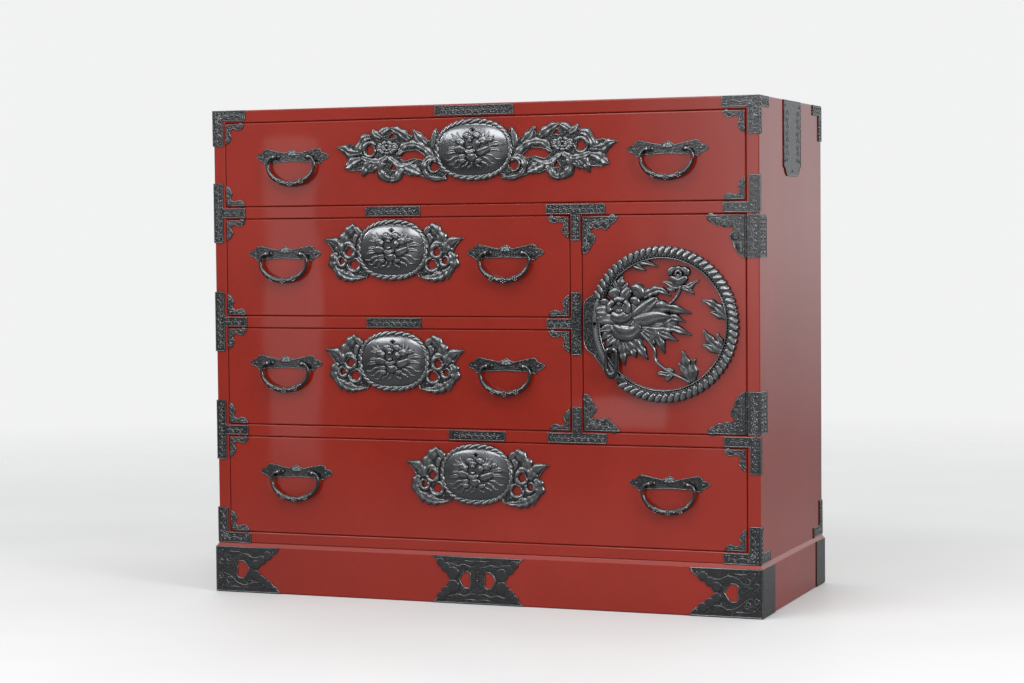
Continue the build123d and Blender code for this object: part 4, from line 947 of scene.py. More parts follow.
TOP_WING: tuple[Sprig, ...] = (
    Sprig(((80, 2), (78, 22), (74, 39)), 6, 3.2, L, 0.4),
    Sprig(((78, -18), (92, 0), (112, 11), (134, 10), (147, -2)), 6.5, 4.2, S, 0.3, 5),
    Sprig(((92, 8), (108, 22), (119, 40)), 8.5, 4.2, L, 0.45, 2, 0.2),
    Sprig(((126, 18), (146, 34), (166, 43)), 8.5, 4.2, L, 0.45, 3, 0.2),
    Sprig(((186, 30), (176, 38), (164, 42)), 6.5, 3.8, L, 0.3),
    Sprig(((180, 24), (194, 32), (200, 42)), 6.5, 3.8, L, 0.4, 2),
    Sprig(((204, 26), (216, 24), (228, 6), (226, -8)), 7, 4.2, S, 0.4, 3),
    Sprig(tuple(curl((205, 3), 14.5, 150, -0.95, 0.75)), 4.2, 4.6, C, 0.0, 3),
    *blossom((171, 6), (23, 14), 9, 5.2, 4.8, 10.0),
    Sprig(((138, 2), (146, -4), (156, -6)), 4.5, 4.2, L, 0.3, 2),
    Sprig(((226, -2), (246, -2), (258, 6), (274, 9)), 8.5, 4.2, L, 0.45, 3, 0.2),
    Sprig(((222, -12), (240, -18), (250, -26), (258, -30)), 8.5, 4.2, L, 0.45, 3, -0.2),
    Sprig(((196, -18), (210, -26), (216, -34), (221, -46)), 9, 4.0, L, 0.45, 3, 0.2),
    Sprig(((170, -8), (186, -18), (206, -16), (224, -10)), 6, 4.2, S, 0.3, 4),
    Sprig(((172, -8), (160, -16), (146, -26), (128, -24), (110, -16)), 5.5, 4.0, L, 0.3, 5, 0.2),
    Sprig(((170, -10), (182, -18), (186, -34), (178, -46), (166, -52)), 7, 4.2, S, 0.35, 3, -0.2),
    Sprig(((166, -52), (154, -50), (148, -38), (150, -24)), 6, 4.0, S, 0.35, 2),
    Sprig(((182, -26), (196, -28), (202, -40)), 6, 3.6, L, 0.4, 2),
    Sprig(((140, -26), (124, -32), (112, -38), (100, -44)), 10, 4.0, L, 0.4, 4, 0.2),
    Sprig(((138, -30), (144, -38), (140, -44)), 5, 3.6, L, 0.3),
    Sprig(
        ((70, -22), (84, -14), (96, -22), (98, -36), (88, -48), (70, -52), (54, -50)),
        7, 4.2, C, 0.35, 5, -0.2,
    ),
    Sprig(tuple(curl((77, -29), 13, 120, -0.7, 0.8)), 3, 4.0, C),
)

SMALL_WING: tuple[Sprig, ...] = (
    Sprig(((64, 26), (70, 36), (76, 43)), 6, 3.6, L, 0.3),
    Sprig(((74, 44), (86, 34), (96, 22), (102, 6)), 9, 4.6, S, 0.35, 3, 0.2),
    Sprig(((70, 30), (76, 20), (74, 8)), 5, 3.4, L, 0.3),
    Sprig(((104, -8), (108, 4), (118, 14), (140, 20)), 10, 4.6, L, 0.4, 3, 0.25),
    Sprig(((100, 8), (92, 12), (84, 10), (77, 4)), 4.5, 4.0, S, 0.0, 2),
    Sprig(tuple(curl((88, -4), 12, 60, 0.86, 0.85)), 3.6, 4.4, S, 0.0, 4),
    Sprig(((112, -4), (119, -14), (121, -26), (114, -38), (108, -54)), 8, 4.6, L, 0.4, 4, -0.2),
    Sprig(tuple(curl((103, -21), 9, 100, -0.9, 0.9)), 3.2, 4.2, S, 0.0, 3),
    Sprig(((112, -34), (102, -44), (88, -50), (72, -51), (52, -50)), 8, 4.6, L, 0.4, 5, 0.2),
    Sprig(tuple(curl((78, -27), 13.5, 10, -0.8, 0.85)), 3.2, 4.2, S, 0.0, 4),
    Sprig(((92, -40), (84, -46), (78, -54)), 4.5, 3.8, L, 0.3),
)

OVAL_PEONY: tuple[Sprig, ...] = (
    Sprig(((-30, -4), (-42, -4), (-55, -9)), 5.0, 2.6, L, 0.5, 2),
    Sprig(((-30, 2), (-40, 4), (-49, 0)), 3.8, 2.2, L, 0.4),
    Sprig(((30, 6), (46, 10), (63, 7)), 5.4, 2.6, L, 0.5, 2),
    Sprig(((30, -2), (44, 0), (59, -5)), 4.2, 2.2, L, 0.5),
    Sprig(((-24, 13), (-33, 20), (-42, 30)), 4.4, 2.4, L, 0.4, 2),
    Sprig(((-26, 14), (-36, 17), (-47, 18)), 3.4, 2.2, L, 0.4),
    Sprig(((-22, 16), (-28, 24), (-30, 33)), 3.4, 2.2, L, 0.4),
    Sprig(((18, 18), (22, 25), (22, 34)), 3.2, 2.2, L, 0.4),
    Sprig(((20, 16), (29, 23), (32, 32)), 3.6, 2.2, L, 0.4),
    Sprig(((24, 12), (34, 18), (43, 25)), 3.6, 2.2, L, 0.4),
    Sprig(((-20, -12), (-34, -13), (-44, -19), (-56, -17)), 2.8, 1.7, L, 0.3),
    Sprig(((-18, -16), (-30, -20), (-38, -27), (-49, -25)), 2.7, 1.7, L, 0.3),
    Sprig(((-14, -19), (-24, -26), (-28, -33), (-40, -32)), 2.7, 1.7, L, 0.3),
    Sprig(((-8, -20), (-12, -28), (-20, -31), (-24, -37)), 2.5, 1.6, L, 0.3),
    Sprig(((-2, -20), (-2, -29), (-9, -33), (-11, -39)), 2.5, 1.6, L, 0.3),
    Sprig(((6, -19), (7, -28), (15, -32), (13, -39)), 2.5, 1.6, L, 0.3),
    Sprig(((12, -17), (20, -24), (28, -27), (31, -35)), 2.7, 1.6, L, 0.3),
    Sprig(((18, -13), (30, -18), (36, -25), (48, -26)), 2.7, 1.7, L, 0.3),
    Sprig(((24, -9), (38, -12), (46, -18), (59, -17)), 2.8, 1.7, L, 0.3),
    Sprig(((-33, 12), (-25, 15), (-16, 10)), 7.0, 4.4, P, 0.25),
    Sprig(((-35, -3), (-24, 1), (-12, -5)), 7.5, 4.8, P, 0.25, 0, 0.2),
    Sprig(((-28, -12), (-20, -13), (-11, -11)), 5.2, 4.2, P, 0.25),
    Sprig(((12, 12), (22, 16), (31, 10)), 7.5, 4.6, P, 0.25),
    Sprig(((28, 16), (36, 18), (43, 14)), 5.0, 3.6, P, 0.25),
    Sprig(((8, -7), (20, -4), (37, 3)), 7.6, 5.2, P, 0.3, 0, 0.2),
    Sprig(((-18, 20), (-11, 26), (-3, 23)), 6.0, 4.8, P, 0.2),
    Sprig(((1, 23), (9, 26), (18, 19)), 6.2, 4.8, P, 0.2),
    Sprig(((-26, -17), (-19, -21), (-11, -18)), 5.0, 4.6, P, 0.2),
    Sprig(((5, -19), (12, -21), (19, -17)), 4.6, 4.6, P, 0.2),
    Sprig(((-11, -10), (0, -15), (10, -10)), 8.0, 6.2, P, 0.3, 0, 0.2),
    Sprig(((-17, 3), (-19, 11), (-14, 18)), 5.0, 6.0, P, 0.2),
    Sprig(((10, 3), (12, 11), (7, 18)), 5.0, 6.0, P, 0.2),
    Sprig(((-12, 17), (-4, 21), (4, 18)), 4.8, 6.4, P, 0.2),
    Sprig(((-14, 0), (-4, -5), (7, 0)), 5.4, 6.7, P, 0.2),
    Sprig(((-9, 6), (-4, 3), (1, 6)), 3.4, 6.7, P),
    Sprig(((-9, 13), (-4, 16), (1, 13)), 3.2, 6.7, P),
)

RING_PEONY: tuple[Sprig, ...] = (
    Sprig(((-120, 10), (-62, 8), (-8, 12)), 34.0, 1.8, P),
    Sprig(((-66, -8), (-66, -34), (-66, -56)), 24.0, 1.4, P),
    Sprig(((-50, 6), (-14, 4), (28, 4)), 17.0, 1.4, P),
    Sprig(((-46, -9), (-28, -28), (-15, -46), (-13, -65), (12, -84), (34, -94), (52, -103)), 2.6, 3.2, S),
    Sprig(((10, 34), (22, 44), (30, 56), (33, 70)), 2.4, 3.0, S),
    Sprig(((52, -104), (46, -84), (41, -64), (36, -45)), 9, 3.8, L, 0.5, 3),
    Sprig(((54, -104), (56, -88), (55, -72), (59, -58)), 6.5, 3.4, L, 0.5, 2),
    Sprig(((46, -90), (36, -78), (28, -66)), 5.5, 3.2, L, 0.4, 2),
    Sprig(((20, -86), (8, -88), (-4, -86), (-13, -88)), 5.0, 3.2, L, 0.5, 3),
    Sprig(((18, -86), (10, -94), (4, -101)), 4.5, 3.0, L, 0.4),
    Sprig(((20, -84), (14, -80), (2, -79)), 3.4, 3.0, L, 0.4),
    Sprig(((114, -48), (98, -38), (84, -24), (74, -8)), 8.5, 3.8, L, 0.5, 3),
    Sprig(((112, -48), (94, -44), (82, -38), (70, -35)), 6.0, 3.4, L, 0.5, 2),
    Sprig(((112, -42), (104, -28), (99, -14)), 5.0, 3.2, L, 0.5, 2),
    Sprig(((118, 8), (104, 26), (88, 37), (69, 44)), 8.0, 3.8, L, 0.5, 3),
    Sprig(((116, 12), (102, 18), (84, 23)), 6.5, 3.4, L, 0.5, 2),
    Sprig(((-80, 108), (-58, 112), (-34, 110), (-7, 101)), 8.0, 3.8, L, 0.5, 3),
    Sprig(((-62, 106), (-46, 102), (-30, 94)), 5.5, 3.4, L, 0.5, 2),
    Sprig(((-82, 60), (-90, 74), (-93, 90)), 4.5, 3.2, L, 0.4),
    Sprig(((-80, 58), (-78, 74), (-74, 86)), 6.5, 3.8, L, 0.4, 2),
    Sprig(((-76, 58), (-68, 66), (-64, 74)), 4.5, 3.2, L, 0.4),
    Sprig(((-90, 62), (-98, 66), (-100, 74)), 3.4, 3.0, L, 0.4),
    Sprig(((33, 66), (22, 66), (10, 72), (-3, 76)), 5.5, 3.2, L, 0.5, 2),
    Sprig(((33, 66), (46, 66), (56, 72), (67, 78)), 5.0, 3.2, L, 0.5, 2),
    Sprig(((34, 64), (46, 62), (58, 52)), 5.0, 3.0, L, 0.5, 2),
    Sprig(((24, 58), (14, 62), (8, 58)), 3.6, 3.0, L, 0.4),
    Sprig(((14, 84), (15, 94), (26, 99)), 5.6, 5.0, P, 0.25),
    Sprig(((45, 84), (44, 94), (33, 99)), 5.6, 5.0, P, 0.25),
    Sprig(((22, 94), (30, 98), (38, 94)), 5.0, 5.4, P, 0.2),
    Sprig(((12, 84), (29, 75), (46, 84)), 7.4, 5.8, P, 0.2, 0, 0.2),
    Sprig(tuple(curl((29, 89), 7.5, 200, 1.15, 0.45)), 2.4, 6.6, S),
    Sprig(((26, 88), (29, 86), (33, 88)), 3.2, 6.8, P),
    Sprig(((-36, 46), (-22, 56), (-4, 60), (16, 49)), 8.0, 4.0, L, 0.5, 4),
    Sprig(((-46, 12), (-18, 28), (16, 28), (53, 19)), 10.5, 5.0, L, 0.45, 4, 0.2),
    Sprig(((-34, -2), (-4, 2), (18, 12), (42, 4)), 9.0, 4.4, L, 0.45, 4),
    Sprig(((-40, -4), (-4, -4), (24, -8), (53, -19)), 9.0, 4.6, L, 0.45, 4, -0.2),
    Sprig(((-36, -6), (-12, -14), (8, -20), (28, -29)), 8.5, 4.2, L, 0.45, 3),
    Sprig(((-34, -8), (-16, -18), (-4, -34), (3, -52)), 9.0, 4.4, L, 0.45, 3, 0.2),
    Sprig(((-40, -12), (-24, -26), (-14, -36)), 7.0, 3.8, L, 0.45, 2),
    Sprig(((-72, -22), (-52, -34), (-38, -48), (-28, -63)), 9.0, 5.0, L, 0.5, 3),
    Sprig(((-74, -24), (-62, -40), (-54, -50), (-50, -60)), 7.5, 4.6, L, 0.5, 3),
    Sprig(((-78, -24), (-76, -44), (-74, -58), (-71, -74)), 7.5, 4.6, L, 0.5, 3),
    Sprig(((-82, -24), (-88, -38), (-90, -54)), 7.0, 4.4, L, 0.5, 3),
    Sprig(((-88, -22), (-98, -32), (-104, -42)), 6.5, 4.2, L, 0.5, 2),
    Sprig(((-90, -16), (-104, -20), (-114, -30)), 7.5, 4.6, L, 0.4, 2),
    Sprig(((-84, -8), (-102, -8), (-121, -14)), 9.0, 5.2, L, 0.4, 2),
    Sprig(((-82, 4), (-102, 10), (-124, 4)), 11.0, 6.0, P, 0.3, 0, 0.2),
    Sprig(((-96, 20), (-110, 24), (-126, 22)), 10.5, 6.6, P, 0.3, 0, 0.2),
    Sprig(((-96, 34), (-108, 40), (-116, 36)), 6.5, 6.2, P, 0.2),
    Sprig(((-98, 46), (-88, 54), (-76, 52)), 11.0, 7.2, P, 0.3, 0, 0.2),
    Sprig(((-68, 38), (-68, 52), (-58, 64)), 10.0, 7.6, P, 0.3, 0, 0.2),
    Sprig(((-58, 60), (-46, 60), (-36, 44)), 11.0, 7.4, P, 0.3, 0, 0.2),
    Sprig(((-60, 40), (-50, 42), (-42, 32)), 7.5, 7.8, P, 0.2),
    Sprig(((-60, 12), (-44, 18), (-26, 32), (-8, 46)), 12.5, 7.6, P, 0.45, 0, 0.2),
    Sprig(((-54, 6), (-30, 8), (-6, 14), (20, 12)), 12.5, 7.4, L, 0.3, 0, 0.2),
    Sprig(((-94, -2), (-80, -14), (-56, -16), (-42, -2)), 15.0, 8.4, P, 0.35, 0, 0.25),
    Sprig(((-60, 4), (-50, -2), (-40, -12)), 8.0, 6.4, P, 0.2),
    Sprig(((-98, 16), (-86, 10), (-68, 10), (-54, 20)), 8.0, 8.6, P, 0.25, 0, 0.2),
    Sprig(((-96, 20), (-98, 32), (-88, 42)), 5.5, 9.0, S),
    Sprig(((-90, 41), (-80, 45), (-69, 41)), 5.0, 9.0, S),
    Sprig(((-70, 42), (-62, 32), (-65, 18)), 5.5, 9.0, S),
    Sprig(((-94, 20), (-80, 14), (-66, 20)), 5.5, 9.4, S),
    Sprig(((-87, 33), (-80, 36), (-73, 33)), 4.2, 7.4, P, 0.2),
    Sprig(((-88, 26), (-80, 23), (-72, 26)), 4.4, 8.2, P, 0.2),
)


TOP_WING_NAILS: tuple[Point, ...] = (
    (80, 11), (112, 27), (150, 9), (176, 27), (227, 5), (251, 5), (238, -27), (203, -25), (163, -47),
    (112, -34), (80, -47),
)
SMALL_WING_NAILS: tuple[Point, ...] = ((126, 16), (77, 16), (112, -43), (66, -41))
PLINTH_CORNER_NAILS: tuple[Point, ...] = ((16, 35), (121, 35), (60, -21), (16, -32), (121, -31))
PLINTH_CENTRE_NAILS: tuple[Point, ...] = ((0, 35), (0, 0), (78, 37), (-78, 37), (78, -35), (-78, -35))
PLINTH_CORNER_LINES: tuple[tuple[Point, ...], ...] = (
    ((8, 33), (30, 30), (46, 24), (60, 24), (74, 30), (92, 24), (106, 12), (118, 8), (124, 0)),
    tuple(curl((108, 20), 7.0, 150, -1.2)), tuple(curl((124, 14), 6.0, 240, 1.1)),
    ((84, 34), (98, 33), (112, 35)),
)
PLINTH_CENTRE_LINES: tuple[tuple[Point, ...], ...] = (
    ((1, 26), (14, 25), (26, 29), (38, 26), (52, 30), (66, 29), (80, 35)),
    ((4, 36), (16, 35), (28, 37)),
)
PLINTH_CORNER_LOBES: tuple[Disc, ...] = (
    (52.0, 9.5, 9.4), (40.0, 18.5, 9.0), (27.0, 27.5, 9.0),
)
PLINTH_CENTRE_LOBES: tuple[Disc, ...] = (
    (48.0, 12.0, 12.2), (62.0, 22.0, 9.5), (72.0, 31.0, 8.0),
)
CORNER_LOBES: tuple[Disc, ...] = (
    (33.0, -3.5, 4.8), (26.5, -7.5, 4.6), (9.5, -24.0, 4.2), (5.0, -32.5, 5.0),
)
DOOR_CORNER_LOBES: tuple[Disc, ...] = (
    (57.0, -5.5, 8.0), (44.5, -16.0, 9.0), (30.0, -17.0, 7.0), (16.0, -39.0, 9.0), (8.5, -55.0, 8.5),
)
HINGE_LOBES: tuple[Disc, ...] = (
    (62.0, -5.5, 8.0), (50.0, -12.0, 8.0), (36.0, -15.5, 8.0), (19.0, -38.0, 9.5), (10.0, -56.0, 9.5),
)
STRAP_NAILS: tuple[Point, ...] = ((-51, -10), (51, -10), (-51, -109), (51, -109), (0, -127))


@dataclass(frozen=True)
class Dome:
    """Cushion-shaped boss of a lock plate.

    Attributes:
        half_width: Half width at its foot.
        half_height: Half height at its foot.
        base: Height of its foot.
        rise: Height of its crown above the foot.
        fullness: How square its outline is; two is an ellipse.
    """

    half_width: float
    half_height: float
    base: float
    rise: float
    fullness: float = 2.25

    def share(self, u: float, v: float) -> float:
        """How far out a place lies, from zero in the middle to one at the foot."""
        total = abs(u / self.half_width) ** self.fullness + abs(v / self.half_height) ** self.fullness
        return total ** (1 / self.fullness)

    def height(self, u: float, v: float) -> float:
        """Height of the boss at a place."""
        return self.base + self.rise * max(0.0, 1 - self.share(u, v) ** 2) ** 0.7

    def edge(self, angle: float, scale: float = 1.0) -> Point:
        """Place on its outline, or on one of the same shape.

        Args:
            angle: Direction of the place, in radians.
            scale: Size of the outline, as a share of the foot's.

        Returns:
            The place, from the middle of the boss.
        """
        power = 2 / self.fullness
        c, s = math.cos(angle), math.sin(angle)
        u = math.copysign(abs(c) ** power, c) * self.half_width * scale
        v = math.copysign(abs(s) ** power, s) * self.half_height * scale
        return (u, v)


@dataclass(frozen=True)
class LockShape:
    """Sizes of a drawer's lock plate, with its rope, boss and wings.

    Attributes:
        half_width: Half width of the rope's bed.
        strands: Number of strands of the rope.
        wing: Leaves of one wing.
        nails: Nails of one wing.
        half_height: Half height of the rope's bed.
        margin: How much narrower the boss is than the bed, on each side.
        boss_half_height: Half height of the boss.
        boss_base: Height of the boss's foot over the drawer's front.
        boss_rise: Height of its crown above the foot.
        boss_fullness: How square the boss's outline is.
        plate: Thickness of the wings' plate.
        strand: Half width and rise of a strand.
        strand_lift: Height over the front that the strands rise from.
        keyhole: Radius of the keyhole's round part.
        keyhole_level: Height of the keyhole over the middle of the boss.
    """

    half_width: float
    strands: int
    wing: tuple[Sprig, ...]
    nails: tuple[Point, ...]
    half_height: float = 55.0
    margin: float = 5.5
    boss_half_height: float = 46.5
    boss_base: float = 4.9
    boss_rise: float = 5.8
    boss_fullness: float = 2.5
    plate: float = 3.0
    strand: Point = (4.2, 3.6)
    strand_lift: float = 3.8
    keyhole: float = 3.6
    keyhole_level: float = 35.0

    @property
    def bed(self) -> Dome:
        """Outline that the rope lies on."""
        return Dome(self.half_width, self.half_height, 0.0, 0.0)

    @property
    def boss(self) -> Dome:
        """Shape of the boss inside the rope."""
        half_width = self.half_width - self.margin
        return Dome(half_width, self.boss_half_height, self.boss_base, self.boss_rise, self.boss_fullness)


WIDE_LOCK = LockShape(75.0, 36, TOP_WING, TOP_WING_NAILS)
SMALL_LOCK = LockShape(70.5, 34, SMALL_WING, SMALL_WING_NAILS)

# Sub-assemblies


@dataclass
class Finishes:
    """Every material of the chest, made once."""

    lacquer: bpy.types.Material = field(default_factory=lambda: Lacquer().build())
    wood: bpy.types.Material = field(default_factory=lambda: PlainWood().build())
    wood_across: bpy.types.Material = field(
        default_factory=lambda: PlainWood("planed_wood_across", along=(1.6, 70.0, 70.0)).build()
    )
    iron: bpy.types.Material = field(default_factory=lambda: BlackIron().build())
    polished: bpy.types.Material = field(
        default_factory=lambda: BlackIron(
            "polished_iron", hollow_shade=(0.04, 0.042, 0.045), flank=(0.09, 0.094, 0.1), worn_and_highlight=(0.2, 0.21, 0.22),
            pebble=0.02, roughness=0.13, metallic=0.95,
        ).build()
    )
    cast: bpy.types.Material = field(
        default_factory=lambda: BlackIron(
            "cast_iron", flank=(0.04, 0.0425, 0.0455), worn_and_highlight=(0.26, 0.27, 0.28), pebble=0.12, roughness=0.15,
            patchy=0.22,
        ).build()
    )
    # The handles' bright crest colour is a painted highlight on the flowers and buds.
    grip: bpy.types.Material = field(
        default_factory=lambda: BlackIron(
            "grip_iron", flank=(0.035, 0.037, 0.04), worn_and_highlight=(0.62, 0.63, 0.65), pebble=0.04, roughness=0.14,
            metallic=0.9, patchy=0.1,
        ).build()
    )


def coat(node: str, finish: bpy.types.Material) -> None:
    """Gives a CAD node its material.

    Args:
        node: Name of the node.
        finish: The material.
    """
    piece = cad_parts[node]
    piece.data.materials.clear()
    piece.data.materials.append(finish)
    LOG.info("%s is dressed in %s", node, finish.name)


@dataclass
class Carcase:
    """Boards and fixed ironwork of the chest's body.

    Attributes:
        finishes: The chest's materials.
        lacquered: Nodes with red lacquer.
        plain: Nodes of bare wood.
        iron: Nodes of bare iron.
        plate: Thickness of the plates on the case.
        plinth_plate: How far the plinth's plates stand out of the case's front.
        case_low: Height of the case's lower edge.
        case_high: Height of its upper edge.
        rails: Heights of the three rails' middles.
        top_rail: Height of the top board's middle.
        divider: Where the divider's middle lies across.
        left_middle: Middle of the left drawers across.
        hinge_levels: Heights of the hinges.
        hinge_line: Middle of the hinges' leaves on the frame, across.
        depth: Depth of the case.
        tee: How far the tee plates reach from their middles.
        plinth_middle: Height of the middle of the plinth's plates.
        plinth_corner: Where the pattern of the plinth's corner plates starts, across.
        strap_middle: Middle of the side straps from the chest's middle to the back.
    """

    finishes: Finishes
    lacquered: tuple[str, ...] = (
        "left_side_panel", "right_side_panel", "top_board", "upper_rail_board", "middle_rail_board",
        "lower_rail_board", "bottom_board", "centre_divider", "plinth_boards",
    )
    plain: tuple[str, ...] = ("back_panel", "cupboard_shelf")
    iron: tuple[str, ...] = (
        "front_corner_plates", "rail_end_plates", "rail_plates", "divider_plates", "side_straps",
        "rear_corner_plates", "plinth_plates", "hinge_frame_leaves", "hinge_pins",
    )
    plate: float = 1.6
    plinth_plate: float = 5.6
    case_low: float = 94.0
    case_high: float = 910.0
    rails: tuple[float, float, float] = (308.4, 512.8, 717.2)
    top_rail: float = 898.3
    divider: float = 193.0
    left_middle: float = -162.25
    hinge_levels: tuple[float, float] = (667.7, 357.9)
    hinge_line: float = 519.5
    depth: float = 445.0
    tee: float = 50.0
    plinth_middle: float = 44.0
    plinth_corner: float = 399.5
    strap_middle: float = 9.3

    def dress_boards(self) -> None:
        """Coats the boards and bare plates."""
        for node in self.lacquered:
            coat(node, self.finishes.lacquer)
        for node in self.plain:
            coat(node, self.finishes.wood_across)
        for node in self.iron:
            coat(node, self.finishes.iron)

    def build_corner_vines(self) -> None:
        """Embosses the corner plates of the front, the sides and the rear edges."""
        relief = Relief()
        for side in (-1.0, 1.0):
            for level, upward in ((self.case_high, 1.0), (self.case_low, -1.0)):
                board = front_board(side * HALF_WIDTH, level, self.plate).turned(-side, upward)
                relief.vine(board, [(61, -9.8), (22, -9.8), (11, -13), (9.8, -26), (9.8, -61)], 18.0)
                relief.nails(board, ((62, -14.5), (14.5, -62), (4.5, -4.5)), 2.0, 1.2)
                wrap = side_board(side, FRONT, level, self.plate).turned(1.0, upward)
                relief.vine(wrap, [(16, -9.8), (56, -9.8)], 16.0)
                relief.vine(wrap, [(5.5, -6), (5.5, -62)], 10.0)
                rear = side_board(side, FRONT + self.depth, level, self.plate).turned(-1.0, upward)
                relief.vine(rear, [(4, -10.5), (62, -10.5)], 18.0)
                relief.vine(rear, [(10.5, -24), (10.5, -62)], 18.0)
        for node in ("front_corner_plates", "rear_corner_plates"):
            for board in (front_board(), side_board(1.0, 0.0, 0.0), side_board(-1.0, 0.0, 0.0)):
                relief.lip(node, board, self.plate)
        relief.piece("corner_plate_vines", "carcase", self.finishes.cast)

    def build_rail_vines(self) -> None:
        """Embosses the plates on the rails, the tees and the divider."""
        relief = Relief()
        low, middle, high = self.rails
        bars = [
            bar(0.0, self.top_rail, 62.0), bar(0.0, low, 43.0),
            bar(self.left_middle, high, 43.0), bar(self.left_middle, middle, 43.0),
        ]
        for side, levels in ((-1.0, (low, middle, high)), (1.0, (low, high))):
            for level in levels:
                bars.append(bar(side * (HALF_WIDTH - 9), level, upward=self.tee))
                bars.append([(side * (HALF_WIDTH - 22), level), (side * (HALF_WIDTH - 52), level)])
        for level, end in ((high, -52.0), (low, 52.0)):
            bars.append(bar(self.divider, level, self.tee))
            bars.append([(self.divider, level + end * 0.25), (self.divider, level + end)])
        bars.append(bar(self.divider, middle, upward=self.tee))
        bars.append([(self.divider - self.tee, middle), (self.divider - 12, middle)])
        board = front_board(lift=self.plate)
        for line in bars:
            relief.vine(board, line, 15.0)
            relief.nails(board, line, 2.0, 1.2)
        for node in ("rail_end_plates", "rail_plates", "divider_plates"):
            relief.lip(node, front_board(), self.plate)
        relief.piece("rail_plate_vines", "carcase", self.finishes.cast)

    def build_plinth_leaves(self) -> None:
        """Embosses the plates of the plinth."""
        relief = Relief()
        middle = front_board(0.0, self.plinth_middle, self.plinth_plate)
        for side in (-1.0, 1.0):
            board = front_board(side * self.plinth_corner, self.plinth_middle, self.plinth_plate).turned(side)
            for upward in (-1.0, 1.0):
                face, arm = board.turned(1.0, upward), middle.turned(side, upward)
                for line in PLINTH_CORNER_LINES:
                    relief.mound(face, line, 0.8, 0.8, steps=26, strips=4)
                for line in PLINTH_CENTRE_LINES:
                    relief.mound(arm, line, 0.8, 0.8, steps=22, strips=4)
                relief.lobes(face, PLINTH_CORNER_LOBES, 1.1)
                relief.lobes(arm, PLINTH_CENTRE_LOBES, 1.1)
            relief.nails(board, PLINTH_CORNER_NAILS, 1.8, 1.3)
        relief.nails(middle, PLINTH_CENTRE_NAILS, 1.8, 1.3)
        relief.lip("plinth_plates", front_board(), self.plinth_plate, 1.0)
        relief.piece("plinth_plate_vines", "carcase", self.finishes.cast)

    def build_side_vines(self) -> None:
        """Embosses the straps and the hinge leaves on the side boards."""
        relief = Relief()
        for side in (-1.0, 1.0):
            board = side_board(side, self.strap_middle, self.case_high, self.plate)
            relief.nails(board, STRAP_NAILS)
            for u in (-38.0, 38.0):
                relief.vine(board, [(u, -16), (u, -112)], 30.0, 0.5)
            relief.lip("side_straps", side_board(side, 0.0, 0.0), self.plate, 1.0)
        for level in self.hinge_levels:
            relief.vine(front_board(self.hinge_line, level, self.plate), [(0, 33), (0, -33)], 17.0)
            wrap = side_board(1.0, FRONT, level, self.plate)
            for u in (10.0, 30.0):
                relief.vine(wrap, [(u, 33), (u, -33)], 17.0)
            relief.nails(wrap, ((20, 28), (20, -28)), 2.2, 1.4)
        relief.lip("hinge_frame_leaves", front_board(), self.plate)
        relief.lip("hinge_frame_leaves", side_board(1.0, 0.0, 0.0), self.plate)
        relief.piece("side_plate_vines", "carcase", self.finishes.cast)

    def build(self) -> None:
        """Makes every piece of the carcase."""
        self.dress_boards()
        self.build_corner_vines()
        self.build_rail_vines()
        self.build_plinth_leaves()
        self.build_side_vines()


